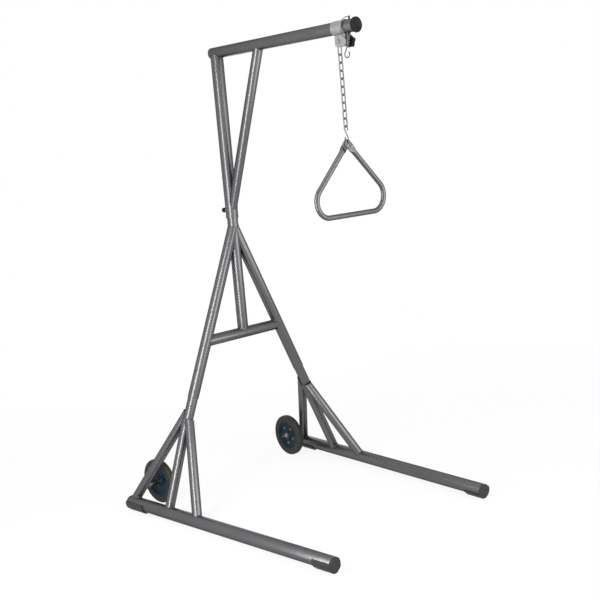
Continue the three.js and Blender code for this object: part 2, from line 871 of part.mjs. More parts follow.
// Heights down the chain
const top_wire_height = bolt_height + bolt_radius + weld_gap + wire_radius;
const top_link_bottom = top_link_joint_height - wire_radius;
const top_link_half_length = (top_wire_height - top_link_bottom) / 2;
const link_half_length = (link_pitch + wire_pass) / 2;

function linkBottom(index) {
  return top_link_bottom - index * link_pitch;
}

const hook_top_wire = linkBottom(link_count) + wire_radius + weld_gap + hook_wire_radius;
const hook_middle = hook_top_wire - hook_half_pitch - hook_radius;
const hook_bottom_wire = hook_middle - hook_half_pitch - hook_radius;
const spare_top_wire = bolt_height + spacer_radius + weld_gap + spare_wire_radius;
const spare_middle = spare_top_wire - spare_half_pitch - spare_radius;

// The handle's apex hole sits on the hook, clear of the wire where it curves up past the tabs
const tab_offset = (tab_thickness + weld_gap) / 2;
const tab_half_stack = tab_thickness + weld_gap / 2;
const hook_rise = hook_radius - Math.sqrt(hook_radius ** 2 - tab_half_stack ** 2);
const tab_hole_height = hook_bottom_wire + hook_rise + hook_wire_radius + tab_seat - tab_hole_radius;
const handle_bar_height = tab_hole_height - handle_rise;

// A handle leg's lean from upright: it runs from the crossing as a tangent to the corner's arc
const tab_crossing_height = tab_hole_height - tab_drop;
const corner_drop = handle_rise - tab_drop - handle_corner_radius;
const corner_distance = Math.hypot(handle_corner_half_spacing, corner_drop);
const corner_bearing = Math.atan2(handle_corner_half_spacing, corner_drop);
const handle_lean = corner_bearing + Math.asin(handle_corner_radius / corner_distance);

// Half the handle's centre line: from the middle of the bar round a corner and up to the apex
function handleCurve() {
  const corner_height = handle_bar_height + handle_corner_radius;
  const leg_y = tab_length * Math.sin(handle_lean);
  const leg_z = tab_crossing_height - tab_length * Math.cos(handle_lean);
  const points = [new THREE.Vector3(0, leg_y, leg_z)];
  const arcPoint = (angle) => {
    const y = handle_corner_half_spacing + handle_corner_radius * Math.cos(angle);
    return new THREE.Vector3(0, y, corner_height + handle_corner_radius * Math.sin(angle));
  };
  for (let i = 0; i <= handle_arc_steps; i += 1) {
    points.push(arcPoint(handle_lean - (i / handle_arc_steps) * (handle_lean + Math.PI / 2)));
  }
  const mirrored = points.map((point) => new THREE.Vector3(0, -point.y, point.z)).reverse();
  const path = new THREE.CurvePath();
  const all = [...points, ...mirrored];
  for (let i = 1; i < all.length; i += 1) {
    path.add(new THREE.LineCurve3(all[i - 1], all[i]));
  }
  return path;
}

// A flattened tube end: a plate wider than the tube, with a round end about the crossing
function handleTab(side, tube_end) {
  const crossing = new THREE.Vector2(0, tab_crossing_height);
  const end = new THREE.Vector2(tube_end.y, tube_end.z);
  const line = end.clone().sub(crossing);
  const angle = line.angle();
  const down = line.clone().normalize();
  const normal = new THREE.Vector2(-Math.sin(angle), Math.cos(angle));
  const beyond = end.clone().addScaledVector(down, handle_radius);
  const shoulder = crossing.clone().addScaledVector(down, tab_shoulder);
  const far = beyond.clone().addScaledVector(normal, -handle_radius);
  const near = beyond.clone().addScaledVector(normal, handle_radius);
  const wide = shoulder.clone().addScaledVector(normal, tab_radius);
  const back = shoulder.clone().addScaledVector(normal, -tab_radius);
  const shape = new THREE.Shape();
  shape.moveTo(back.x, back.y);
  shape.lineTo(far.x, far.y);
  shape.lineTo(near.x, near.y);
  shape.lineTo(wide.x, wide.y);
  shape.absarc(crossing.x, crossing.y, tab_radius, angle + Math.PI / 2, angle + 1.5 * Math.PI);
  const outline = new THREE.Shape(shape.getPoints(2 * curve_steps));
  return plate(outline, tab_thickness, axis_y, axis_z).translate([side * tab_offset, 0, 0]);
}

function handleTube() {
  const curve = handleCurve();
  const left_end = curve.getPoint(0);
  const right_end = curve.getPoint(1);
  const hole = new THREE.Vector3(0, 0, tab_hole_height);
  const rivet = new THREE.Vector3(0, 0, tab_hole_height - rivet_drop);
  const drill = (centre, radius) => {
    const reach = tab_half_stack + overrun;
    return rod(along(centre, axis_x, -reach), along(centre, axis_x, reach), radius, pin_sides);
  };
  return swept(curve, handle_radius, handle_steps, handle_sides)
    .add(handleTab(-1, left_end))
    .add(handleTab(1, right_end))
    .subtract(drill(hole, tab_hole_radius))
    .subtract(drill(rivet, rivet_radius + weld_gap));
}

function handleRivet() {
  const face = tab_half_stack + weld_gap;
  const profile = [
    [0, -face - rivet_head_thickness],
    [rivet_head_radius, -face - rivet_head_thickness],
    [rivet_head_radius, -face],
    [rivet_radius, -face],
    [rivet_radius, face],
    [rivet_head_radius, face],
    [rivet_head_radius, face + rivet_head_thickness],
    [0, face + rivet_head_thickness],
  ];
  return turned(profile, new THREE.Vector3(0, 0, tab_hole_height - rivet_drop), axis_x, pin_sides);
}

// Stop pin: a shaft with a tapered tip, a collar under the boom and a neck bored for the bail
const pin_collar_top = -boom_radius - weld_gap;
const pin_neck_top = pin_collar_top - pin_collar_length;
const pin_bottom = pin_neck_top - pin_neck_length;
const bail_pivot = pin_neck_top - pin_neck_length / 2;

function stopPin() {
  const profile = [
    [0, pin_bottom],
    [pin_neck_radius, pin_bottom],
    [pin_neck_radius, pin_neck_top],
    [pin_collar_radius, pin_neck_top],
    [pin_collar_radius, pin_collar_top],
    [pin_radius, pin_collar_top],
    [pin_radius, pin_tip_reach - pin_tip_taper],
    [pin_radius / 2, pin_tip_reach],
    [0, pin_tip_reach],
  ];
  const pivot = along(pin_middle, pin_up, bail_pivot);
  const bore_start = along(pivot, axis_x, -pin_neck_radius);
  const bore_end = along(pivot, axis_x, pin_neck_radius);
  return turned(profile, pin_middle, pin_up, small_sides)
    .subtract(longRod(bore_start, bore_end, bail_radius + weld_gap, pin_sides));
}

// Bail: a wire from the neck's cross hole, round the near side of the boom, to the pin's tip
function pinBail() {
  const tip_height = pin_tip_reach - pin_tip_taper - bail_radius;
  const beside = pin_radius + bail_radius + running_gap;
  const place = (x, up, out) => along(along(pin_middle.clone().setX(pin_x + x), pin_up, up), pin_out, out);
  const reach_shares = [0.4, 0.93, 1, 0.8, 0.35];
  const height_shares = [0.97, 0.62, 0, 0.62, 0.97];
  const points = [
    place(pin_neck_radius, bail_pivot, 0),
    place(-pin_neck_radius, bail_pivot, 0),
    place(-bail_side, bail_pivot, bail_radius),
    place(-bail_side, height_shares[0] * bail_pivot, reach_shares[0] * bail_reach),
    place(-bail_side, height_shares[1] * bail_pivot, reach_shares[1] * bail_reach),
    place(-bail_side, height_shares[2], reach_shares[2] * bail_reach),
    place(-bail_side, height_shares[3] * tip_height, reach_shares[3] * bail_reach),
    place(-beside, height_shares[4] * tip_height, reach_shares[4] * bail_reach),
    place(-beside, tip_height, -pin_radius),
  ];
  const curve = new THREE.CatmullRomCurve3(points, false, 'centripetal');
  return swept(curve, bail_radius, bail_steps, bail_sides);
}

// A group placed at a point, holding some meshes
function placed(meshes, position, turn = 0) {
  const group = new THREE.Group();
  group.add(...meshes);
  group.position.copy(position);
  group.rotation.z = turn;
  return group;
}

const trapeze = new THREE.Group();

for (const [side, hand] of [[-1, 'right'], [1, 'left']]) {
  trapeze.add(
    named(`base_tube_${hand}`, baseTube(side), paint),
    named(`foot_rear_${hand}`, foot(side, rear_pad_length - base_rear_reach, -base_rear_reach), rubber),
    named(`foot_front_${hand}`, foot(side, base_front_reach - front_pad_length, base_front_reach), rubber),
    named(`strut_rear_${hand}`, rearStrut(side), paint),
    named(`strut_middle_${hand}`, middleStrut(side), paint),
    named(`strut_front_${hand}`, frontStrut(side), paint),
    named(`stub_tube_${hand}`, stubTube(side), paint),
    named(`leg_${hand}`, leg(side), paint),
    named(`leg_button_${hand}`, snapButton(side), zinc),
    named(`axle_tube_${hand}`, axleTube(side), paint),
    named(`axle_bolt_${hand}`, axleBolt(side), zinc),
  );
  const wheel = [
    named(`tyre_${hand}`, tyre(), rubber),
    named(`hub_${hand}`, hub(), hub_paint),
    named(`wheel_bearing_${hand}`, wheelBearing(), zinc),
  ];
  trapeze.add(placed(wheel, wheelCentre(side), -side * toe_in));
}

trapeze.add(
  named('cross_brace', crossBrace(), paint),
  named('centre_post', centrePost(), paint),
  named('rear_post', rearPost(), paint),
  named('front_brace', frontBrace(), paint),
  named('boom_tube', boomTube(), paint),
  named('boom_rear_plug', rearPlug(), plastic),
  named('boom_front_cap', frontCap(), plastic),
  named('lock_boss', lockBoss(), paint),
  named('lock_screw', lockScrew(), zinc),
  named('lock_ball', lockBall(), plastic),
  named('hanger_strap', hangerStrap(), zinc),
  named('clamp_bolt', clampBolt(), zinc),
  named('clamp_spacer', clampSpacer(), zinc),
  named('clamp_knob', clampKnob(), plastic),
  named('stop_pin', stopPin(), blackened),
  named('pin_bail', pinBail(), blackened),
);

const spare_shape = hook(spare_radius, spare_half_pitch, spare_open_degrees, spare_wire_radius);
const spare_hook = named('spare_hook', spare_shape, zinc);
trapeze.add(placed([spare_hook], new THREE.Vector3(hanger_x, spare_y, spare_middle), Math.PI));

const top_link = named('top_link', chainLink(link_half_width, top_link_half_length), zinc);
trapeze.add(placed([top_link], new THREE.Vector3(hanger_x, 0, top_link_bottom + top_link_half_length)));

for (let index = 1; index <= link_count; index += 1) {
  const name = `chain_link_${String(index).padStart(2, '0')}`;
  const link = named(name, chainLink(link_half_width, link_half_length), zinc);
  const middle = new THREE.Vector3(hanger_x, 0, linkBottom(index) + link_half_length);
  trapeze.add(placed([link], middle, (index % 2) * (Math.PI / 2)));
}

const hook_shape = hook(hook_radius, hook_half_pitch, hook_open_degrees, hook_wire_radius);
const handle_hook = named('handle_hook', hook_shape, zinc);
trapeze.add(placed([handle_hook], new THREE.Vector3(hanger_x, 0, hook_middle)));

const handle = [named('handle_tube', handleTube(), paint), named('handle_rivet', handleRivet(), zinc)];
trapeze.add(placed(handle, new THREE.Vector3(hanger_x, 0, 0)));

// The origin lies on the floor, under the middle of the outline
const outline = new THREE.Box3().setFromObject(trapeze);
const outline_middle = outline.getCenter(new THREE.Vector3());
const standing = new THREE.Group();
standing.add(trapeze);
trapeze.position.set(-outline_middle.x, -outline_middle.y, 0);

export default standing;
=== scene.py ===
# %% [markdown]
# A bed trapeze stands on the floor by the bed: two long feet, an A-frame, a mast with a boom
# and a triangular handle on a chain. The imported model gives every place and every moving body.
# This script dresses it: each rough solid is hidden behind a finely made surface of the same size.

# %% Load the frame
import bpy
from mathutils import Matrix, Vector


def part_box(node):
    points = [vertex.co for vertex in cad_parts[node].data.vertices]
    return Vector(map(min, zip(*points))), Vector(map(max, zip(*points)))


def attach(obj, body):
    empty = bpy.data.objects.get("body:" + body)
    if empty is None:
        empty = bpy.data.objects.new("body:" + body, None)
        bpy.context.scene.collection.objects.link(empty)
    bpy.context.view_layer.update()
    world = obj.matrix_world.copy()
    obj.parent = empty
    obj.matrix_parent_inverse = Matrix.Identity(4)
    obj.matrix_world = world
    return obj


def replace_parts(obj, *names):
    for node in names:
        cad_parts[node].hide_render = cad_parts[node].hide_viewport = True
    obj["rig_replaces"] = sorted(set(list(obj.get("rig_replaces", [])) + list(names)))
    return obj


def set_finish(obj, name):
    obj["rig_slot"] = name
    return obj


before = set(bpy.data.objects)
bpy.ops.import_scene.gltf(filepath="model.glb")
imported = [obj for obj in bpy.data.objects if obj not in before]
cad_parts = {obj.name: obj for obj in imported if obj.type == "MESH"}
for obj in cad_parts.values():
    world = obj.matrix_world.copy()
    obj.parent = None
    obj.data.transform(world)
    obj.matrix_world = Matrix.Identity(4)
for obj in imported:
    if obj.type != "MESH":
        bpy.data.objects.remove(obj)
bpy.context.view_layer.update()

import math

import bmesh
import bpy
import numpy as np
from mathutils import Matrix

# %% [markdown]
# The lengths below are millimetres measured from the mast's axis, as they are in the model's own
# drawing. The mast's box tells how far that axis lies from the origin, so one sum at the end of
# every piece carries it into place in metres.

# %% Places and sizes
mast_x = sum(corner[0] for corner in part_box("rear_post")) / 2
millimetre = 0.001
weld_gap, tube_lip = 0.3, 0.7

base_radius, base_wall = 25.4, 2.0
base_rear_reach, base_front_reach = 230.0, 872.0
base_half_spacing, toe_in = 466.0, math.radians(3.6)
sole_thickness, sole_half_width, pad_wall = 6.0, 9.0, 4.3
pad_roll, pad_disc_thickness = math.radians(20), 7.0
rear_pad_length, front_pad_length = 96.0, 76.0
base_height = base_radius + sole_thickness

strut_radius, tube_wall = 19.05, 2.0
strut_feet = {"rear": -221.0, "middle": 5.0, "front": 178.0}
knuckle_half_spacing, knuckle_height, strut_meeting_x = 311.0, 404.0, -9.0
leg_radius, leg_wall, leg_start = 22.225, 1.6, 56.0
stub_radius, stub_insertion, stub_drop = 20.275, 95.0, 32.0
apex_height, brace_radius, brace_height = 1107.4, 22.225, 666.5
button_radius, button_above_leg_end, button_stand_out = 5.0, 36.0, 3.0

post_radius, post_wall = 25.4, 2.85
post_bottom, post_insertion = 1142.0, 110.0
centre_post_radius = 22.2
mast_brace_radius, mast_brace_foot_height, mast_brace_reach = 19.05, 1165.0, 259.0
boom_radius, boom_wall, boom_height = 22.225, 2.2, 1799.5
boom_rear, boom_front = -27.0, 765.0
print("mast axis at x =", round(mast_x, 5), "m")

# %% [markdown]
# A piece is worked out as a grid of points, row after row, and the quads between neighbouring
# points become its faces. A loft wraps round at its seam or closes onto a second, inner grid.
# Doubled points at poles and seams are then merged, and the faces turned outwards.

# %% From grids of points to pieces
def unit(vector):
    """A vector divided by its length."""
    vector = np.asarray(vector, float)
    return vector / np.linalg.norm(vector, axis=-1, keepdims=True)


def quads(numbers, wrap_u=False, wrap_v=False):
    """Corner numbers of the quads between neighbours in a grid of point numbers."""
    if wrap_u:
        numbers = np.vstack([numbers, numbers[:1]])
    if wrap_v:
        numbers = np.hstack([numbers, numbers[:, :1]])
    corners = [numbers[:-1, :-1], numbers[1:, :-1], numbers[1:, 1:], numbers[:-1, 1:]]
    return np.stack(corners, axis=-1).reshape(-1, 4)


def numbered(grid, first=0):
    """The grid's points numbered row by row, counting from first."""
    return first + np.arange(grid.shape[0] * grid.shape[1]).reshape(grid.shape[:2])


def sheet_faces(grid, wrap_u=False, wrap_v=False):
    """Points and quads of one grid."""
    return grid.reshape(-1, 3), quads(numbered(grid), wrap_u, wrap_v)


def shell_faces(outer, inner):
    """Points and quads of a wall between two grids, closed along every free edge."""
    a = numbered(outer)
    b = numbered(inner, a.size)
    faces = [quads(a), quads(b)]
    for end in (0, -1):
        faces += [quads(np.stack([a[end], b[end]])), quads(np.stack([a[:, end], b[:, end]]))]
    return np.vstack([outer.reshape(-1, 3), inner.reshape(-1, 3)]), np.vstack(faces)


def joined(*parts):
    """Several (points, quads) pairs as one."""
    counts = np.cumsum([0] + [len(points) for points, _ in parts])
    points = np.vstack([points for points, _ in parts])
    return points, np.vstack([faces + count for (_, faces), count in zip(parts, counts)])


made, beads = [], []


def clean_mesh(name, surface):
    """A mesh from points in millimetres and quads: doubled points merged, faces turned outwards."""
    points, faces = surface
    mesh = bpy.data.meshes.new(name)
    mesh.vertices.add(len(points))
    mesh.vertices.foreach_set("co", (points * millimetre + (mast_x, 0, 0)).ravel().astype(np.float32))
    mesh.loops.add(faces.size)
    mesh.loops.foreach_set("vertex_index", faces.ravel().astype(np.int32))
    mesh.polygons.add(len(faces))
    mesh.polygons.foreach_set("loop_start", np.arange(0, faces.size, 4, dtype=np.int32))
    mesh.polygons.foreach_set("loop_total", np.full(len(faces), 4, dtype=np.int32))
    mesh.update(calc_edges=True)
    work = bmesh.new()
    work.from_mesh(mesh)
    bmesh.ops.remove_doubles(work, verts=work.verts, dist=2e-6)
    bmesh.ops.dissolve_degenerate(work, edges=work.edges, dist=1e-7)
    bmesh.ops.recalc_face_normals(work, faces=work.faces)
    work.to_mesh(mesh)
    work.free()
    return mesh


def linked(name, data):
    """An object in the scene's collection."""
    thing = bpy.data.objects.new(name, data)
    bpy.context.scene.collection.objects.link(thing)
    return thing


def piece(name, surface, body, finish, replaced=(), smooth_degrees=40, rounding=0.0):
    """A smooth object of one finish, riding on a body."""
    mesh = clean_mesh(name, surface)
    mesh.shade_smooth()
    mesh.set_sharp_from_angle(angle=math.radians(smooth_degrees))
    thing = linked(name, mesh)
    if rounding:
        bevel = thing.modifiers.new("rounded edges", "BEVEL")
        bevel.width = rounding * millimetre
        bevel.segments = 3
        bevel.limit_method = "ANGLE"
        bevel.angle_limit = math.radians(smooth_degrees)
        bevel.harden_normals = False
    thing.data.materials.append(finishes[finish])
    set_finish(thing, "zinc" if finish == "chain_zinc" else finish)
    if replaced:
        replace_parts(thing, *replaced)
    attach(thing, body)
    made.append(thing)
    return thing


def dress(node, surface, body, finish="vein_paint", smooth_degrees=40, rounding=0.0):
    """The fine piece that stands for one rough solid."""
    return piece(f"{node}_fine", surface, body, finish, [node], smooth_degrees, rounding)


# %% [markdown]
# Round work comes in three kinds here: a profile turned about an axis, a straight tube whose ends
# are cut to fit another tube, and a wire carried along a path. Each is one array sum over an angle
# and a distance.

# %% Turned, straight and bent round work
def square_to(direction):
    """Two unit vectors square to a direction and to each other."""
    helper = (1.0, 0, 0) if abs(direction[0]) < 0.9 else (0, 1.0, 0)
    first = unit(np.cross(direction, helper))
    return first, np.cross(direction, first)


def full_turn(sides):
    """Angles all round, in equal steps."""
    return np.arange(sides) * (2 * math.pi / sides)


def quarter_turn(steps):
    """Angles from nothing to a right angle."""
    return np.linspace(0, math.pi / 2, steps)


def circle(first, second, sides):
    """cos(angle) * first + sin(angle) * second, all round; one row for each pair of vectors given."""
    angle = full_turn(sides)[:, None]
    return np.cos(angle) * first[..., None, :] + np.sin(angle) * second[..., None, :]


def arc_points(centre, radius, angle):
    """Points in a plane at given angles round a centre."""
    angle = np.asarray(angle, float)
    return np.asarray(centre, float) + radius * np.stack([np.cos(angle), np.sin(angle)], axis=-1)


def spokes(direction, sides):
    """Unit vectors all round a direction."""
    return circle(*square_to(direction), sides)


def turned(profile, start, direction, sides=64, closed=True):
    """(radius, distance) pairs turned about an axis: start + distance * axis + radius * spoke."""
    profile = np.asarray(profile, float)
    direction = unit(direction)
    grid = profile[:, 0, None, None] * spokes(direction, sides) + profile[:, 1, None, None] * direction
    return sheet_faces(grid + np.asarray(start, float), wrap_u=closed, wrap_v=True)


def rounded_corner(radius, distance, edge, toward_radius, toward_distance, steps=4):
    """A quarter circle of radius edge round one corner of a profile, from its radius side."""
    angle = quarter_turn(steps)
    back_r = edge * (1 - np.sin(angle)) * toward_radius
    back_d = edge * (1 - np.cos(angle)) * toward_distance
    return list(zip(radius + back_r, distance + back_d))


def meets_bar(points, direction, bar, leaving):
    """How far along direction each point comes to lie a radius away from a bar's axis."""
    centre, axis, radius = bar
    away = points - centre
    away = away - (away @ axis)[:, None] * axis
    across = direction - (direction @ axis) * axis
    a, b, c = across @ across, away @ across, (away * away).sum(1) - radius**2
    inside = b * b - a * c
    root = np.sqrt(np.maximum(inside, 0))
    distance = (-b + root) / a if leaving else (-b - root) / a
    return np.where(inside >= 0, distance, -np.inf if leaving else np.inf)


def meets_plane(points, direction, plane):
    """How far along direction each point meets a plane given by a point and a normal."""
    place, normal = plane
    return ((place - points) @ normal) / (direction @ normal)


def cut_distances(points, direction, cuts, leaving):
    """The last cut met when leaving, or the first when arriving."""
    found = [
        meets_bar(points, direction, cut, leaving) if len(cut) == 3 else meets_plane(points, direction, cut)
        for cut in cuts
    ]
    return np.max(found, axis=0) if leaving else np.min(found, axis=0)


def tube(
    node, body, start, end, radius, wall, start_cuts=None, end_cuts=None, sides=80, welds=(None, None)
):
    """A painted tube whose ends follow other tubes. The outer loop at an end is kept if it has a weld."""
    start, end = np.asarray(start, float), np.asarray(end, float)
    direction = unit(end - start)
    start_cuts = start_cuts or [(start, direction)]
    end_cuts = end_cuts or [(end, direction)]
    rings = spokes(direction, sides)
    outer, inner = start + radius * rings, start + (radius - wall) * rings
    first = cut_distances(outer, direction, start_cuts, True)
    last = cut_distances(outer, direction, end_cuts, False)
    rows = []
    for cut, turns, inwards in ((first, quarter_turn(4), 1), (last, quarter_turn(4)[::-1], -1)):
        for a in turns:
            shrink, back = tube_lip * (1 - math.sin(a)), inwards * tube_lip * (1 - math.cos(a))
            rows.append(outer - shrink * rings + (cut + back)[:, None] * direction)
    rows.append(inner + cut_distances(inner, direction, end_cuts, False)[:, None] * direction)
    rows.append(inner + cut_distances(inner, direction, start_cuts, True)[:, None] * direction)
    for name, distance in zip(welds, (first, last)):
        if name:
            beads.append((name, body, outer + distance[:, None] * direction))
    return dress(node, sheet_faces(np.stack(rows), wrap_u=True, wrap_v=True), body)


def carried(path, radius, sides=16, closed=False, normal=None):
    """A round wire along a path: each point plus radius times a circle. Free ends are rounded."""
    path = np.asarray(path, float)
    if closed:
        tangent = unit(np.roll(path, -1, 0) - np.roll(path, 1, 0))
    else:
        tangent = unit(np.gradient(path, axis=0))
    if normal is None:
        up = carried_normals(tangent)
    else:
        up = unit(np.asarray(normal, float) - (tangent @ np.asarray(normal, float))[:, None] * tangent)
    side = np.cross(up, tangent)
    radius = np.broadcast_to(np.asarray(radius, float), (len(path),)).copy()
    if not closed:
        bend = quarter_turn(6)[:-1]
        tip = path[0] - radius[0] * np.cos(bend)[:, None] * tangent[0]
        toe = path[-1] + radius[-1] * np.append(np.sin(bend[1:]), 1)[:, None] * tangent[-1]
        path = np.vstack([tip, path[1:], toe])
        fade = np.append(radius[-1] * np.cos(bend[1:]), 0)
        radius = np.concatenate([radius[0] * np.sin(bend), radius[1:], fade])
        side, up = (
            np.vstack([np.repeat(rows[:1], len(bend), 0), rows[1:], np.repeat(rows[-1:], len(bend), 0)])
            for rows in (side, up)
        )
    return sheet_faces(path[:, None] + radius[:, None, None] * circle(side, up, sides), closed, True)


def carried_normals(tangent):
    """A normal for each station, turned as little as possible from one to the next."""
    normal = square_to(tangent[0])[0]
    rows = [normal]
    for direction in tangent[1:]:
        normal = unit(normal - (normal @ direction) * direction)
        rows.append(normal)
    return np.array(rows)


# %% [markdown]
# Where two tubes meet they are joined by a weld: a run of small overlapping ripples that follows
# the line of the joint. A real bead has an even step, so its radius swells and shrinks evenly.

# %% Weld bead
bead_radius, ripple_step, bead_least, bead_swell = 1.6, 1.9, 0.9, 0.16


def weld_bead(loop, stations=260, sides=10):
    """A bead along a closed loop: its radius swells from 0.9 to 1.06 of the usual, as |cos| does."""
    closed = np.vstack([loop, loop[:1]])
    steps = np.linalg.norm(np.diff(closed, axis=0), axis=1)
    run = np.concatenate([[0], np.cumsum(steps)])
    place = np.linspace(0, run[-1], stations, endpoint=False)
    path = np.stack([np.interp(place, run, closed[:, k]) for k in range(3)], axis=1)
    for _ in range(3):
        path = (np.roll(path, 1, 0) + 2 * path + np.roll(path, -1, 0)) / 4
    ripples = max(8, round(run[-1] / ripple_step))
    wave = np.abs(np.cos(np.arange(stations) * (math.pi * ripples / stations)))
    swell = bead_radius * (bead_least + bead_swell * wave)
    tangent = unit(np.roll(path, -1, 0) - np.roll(path, 1, 0))
    outward = path - path.mean(0)
    outward = unit(outward - (outward * tangent).sum(1)[:, None] * tangent)
    side = np.cross(tangent, outward)
    return sheet_faces(path[:, None] + swell[:, None, None] * circle(outward, side, sides), True, True)


# %% [markdown]
# A finish is a small tree of nodes. Writing it as sums is easier to read than wiring sockets by
# hand: the class below wraps one socket, and adding or multiplying two of them adds a Math node.

# %% Sums of sockets
class Value:
    """One output of a node. Sums, products and differences from a number add Math nodes."""

    def __init__(self, finish, socket):
        self.finish, self.socket = finish, socket

    def _math(self, operation, first, second):
        return self.finish.node("ShaderNodeMath", {"operation": operation}, {0: first, 1: second})[0]

    def __add__(self, other):
        return self._math("ADD", self, other)

    def __rsub__(self, other):
        return self._math("SUBTRACT", other, self)

    def __mul__(self, other):
        return self._math("MULTIPLY", self, other)


class Outputs:
    """A node's outputs by number or name, as values."""

    def __init__(self, finish, made_node):
        self.finish, self.made_node = finish, made_node

    def __getitem__(self, key):
        return Value(self.finish, self.made_node.outputs[key])


class Finish:
    """The nodes of one material, or of the world."""

    def __init__(self, block):
        block.use_nodes = True
        self.block, self.tree = block, block.node_tree

    def node(self, kind, settings=None, inputs=None):
        """Adds a node of any kind: first its settings, then the values or links of its sockets."""
        added = self.tree.nodes.new(kind)
        for key, value in (settings or {}).items():
            if key == "stops":
                for stop, (position, colour) in zip(self._stops(added, len(value)), value):
                    stop.position, stop.color = position, (*colour, 1)
            else:
                setattr(added, key, value)
        for key, value in (inputs or {}).items():
            self.feed(added.inputs[key], value)
        return Outputs(self, added)

    def _stops(self, ramp, count):
        elements = ramp.color_ramp.elements
        while len(elements) < count:
            elements.new(1)
        return list(elements)

    def feed(self, socket, value):
        """Sets a socket's own value, or links a Value to it."""
        if isinstance(value, Value):
            self.tree.links.new(value.socket, socket)
        else:
            socket.default_value = value

    def set(self, **inputs):
        """Feeds the shader's own sockets, their names written with underscores for spaces."""
        for key, value in inputs.items():
            self.feed(self.tree.nodes["Principled BSDF"].inputs[key.replace("_", " ")], value)

    def place(self):
        """The point's place on its own object."""
        return self.node("ShaderNodeTexCoord")["Object"]

    def noise(self, scale, detail=3.0, roughness=0.5):
        """Cloudy variation from 0 to 1, scale times a metre fine."""
        inputs = {"Vector": self.place(), "Scale": scale, "Detail": detail, "Roughness": roughness}
        return self.node("ShaderNodeTexNoise", {}, inputs)["Fac"]

    def ramp(self, value, *stops):
        """A colour picked by a value, from (position, colour) stops."""
        return self.node("ShaderNodeValToRGB", {"stops": list(stops)}, {"Fac": value})["Color"]

    def span(self, value, low, high, to_low=0.0, to_high=1.0):
        """A value moved from one range to another and held inside it."""
        inputs = {0: value, 1: low, 2: high, 3: to_low, 4: to_high}
        return self.node("ShaderNodeMapRange", {"clamp": True}, inputs)[0]

    def greatest(self, first, *others):
        """The greatest of several values."""
        for other in others:
            first = self.node("ShaderNodeMath", {"operation": "MAXIMUM"}, {0: first, 1: other})[0]
        return first

    def bump(self, height, depth, strength=1.0):
        """A normal that a height in shares of depth metres would give."""
        inputs = {"Height": height, "Distance": depth, "Strength": strength}
        return self.node("ShaderNodeBump", {}, inputs)["Normal"]


# %% [markdown]
# The tubes wear a dark silver powder coat: metal flakes in a clear binder that crinkles a little
# while it is baked. Seen close it is a net of light veins on darker ground. A Voronoi pattern
# bent by noise gives the net, and a bump follows it, so weak that it shows only from close by.

# %% Powder coat
finishes = {}


def coat_of_paint(name):
    """Light veins on darker ground, over slow clouds."""
    paint = Finish(bpy.data.materials.new(name))
    warp = paint.noise(240, 2.0)
    offset = paint.node("ShaderNodeVectorMath", {"operation": "SCALE"}, {0: warp, "Scale": 0.004})[0]
    bent = paint.node("ShaderNodeVectorMath", {"operation": "ADD"}, {0: paint.place(), 1: offset})[0]
    cells = paint.node(
        "ShaderNodeTexVoronoi", {"feature": "DISTANCE_TO_EDGE"}, {"Vector": bent, "Scale": 330.0}
    )["Distance"]
    veins = 1 - paint.span(cells, 0.0, 0.32)
    cloud = paint.noise(9, 2.0)
    tone = paint.span(veins * 0.45 + cloud * 0.55, 0.1, 0.9)
    paint.set(
        Base_Color=paint.ramp(tone, (0.0, (0.103, 0.101, 0.105)), (1.0, (0.140, 0.137, 0.143))),
        Metallic=0.88,
        Specular_Tint=(0.30, 0.30, 0.31, 1),
        Roughness=paint.span(paint.noise(60, 3.0), 0.3, 0.7, 0.30, 0.35),
        Normal=paint.bump(veins, 0.000008, 0.15),
    )
    return paint.block


finishes["vein_paint"] = coat_of_paint("vein_paint")
print("finish", list(finishes))

# %% [markdown]
# Rubber is nearly black and dull, with dust that lightens it in patches; moulded plastic is a
# little smoother. Zinc plate is a bright, slightly mottled metal, darker on the chain and the hooks;
# the wheel hubs are dark teal.

# %% Rubber, plastic and plated steel
def plain_finish(name, dark, light, metallic, roughness, scale, grain, depth, gloss=0.5):
    """A mottled finish: colour and roughness between two values by noise, with a fine grain."""
    look = Finish(bpy.data.materials.new(name))
    mottle = look.noise(scale, 4.0, 0.6)
    look.set(
        Base_Color=look.ramp(look.span(mottle, 0.3, 0.7), (0.0, dark), (1.0, light)),
        Metallic=metallic,
        Roughness=look.span(mottle, 0.25, 0.75, *roughness),
        Normal=look.bump(look.noise(grain, 3.0), depth, 0.4),
        Specular_IOR_Level=gloss,
    )
    return look.block


# Each row: dark and light colour, metallic, roughness range, mottle and grain scale, depth and gloss
finish_values = {
    "foot_rubber":
        ((0.020, 0.019, 0.019), (0.036, 0.034, 0.033), 0.0, (0.50, 0.68), 60, 1400, 0.00003, 0.25),
    "tyre":
        ((0.014, 0.014, 0.012), (0.030, 0.030, 0.026), 0.0, (0.55, 0.72), 45, 1100, 0.00004, 0.25),
    "hub_paint":
        ((0.0025, 0.012, 0.021), (0.004, 0.021, 0.036), 0.0, (0.35, 0.48), 50, 900, 0.00002, 0.10),
    "bearing_steel":
        ((0.14, 0.12, 0.10), (0.24, 0.21, 0.18), 0.85, (0.32, 0.46), 120, 1500, 0.00002),
    "black_plastic":
        ((0.006, 0.006, 0.008), (0.012, 0.011, 0.015), 0.0, (0.34, 0.46), 80, 1600, 0.00002, 0.10),
    "zinc":
        ((0.23, 0.23, 0.225), (0.34, 0.34, 0.33), 0.9, (0.46, 0.58), 160, 1500, 0.000006),
    "chain_zinc":
        ((0.13, 0.13, 0.127), (0.21, 0.21, 0.205), 0.9, (0.38, 0.50), 160, 1500, 0.000006),
    "dark_steel":
        ((0.05, 0.05, 0.055), (0.10, 0.10, 0.105), 0.85, (0.28, 0.42), 140, 1500, 0.00002),
}
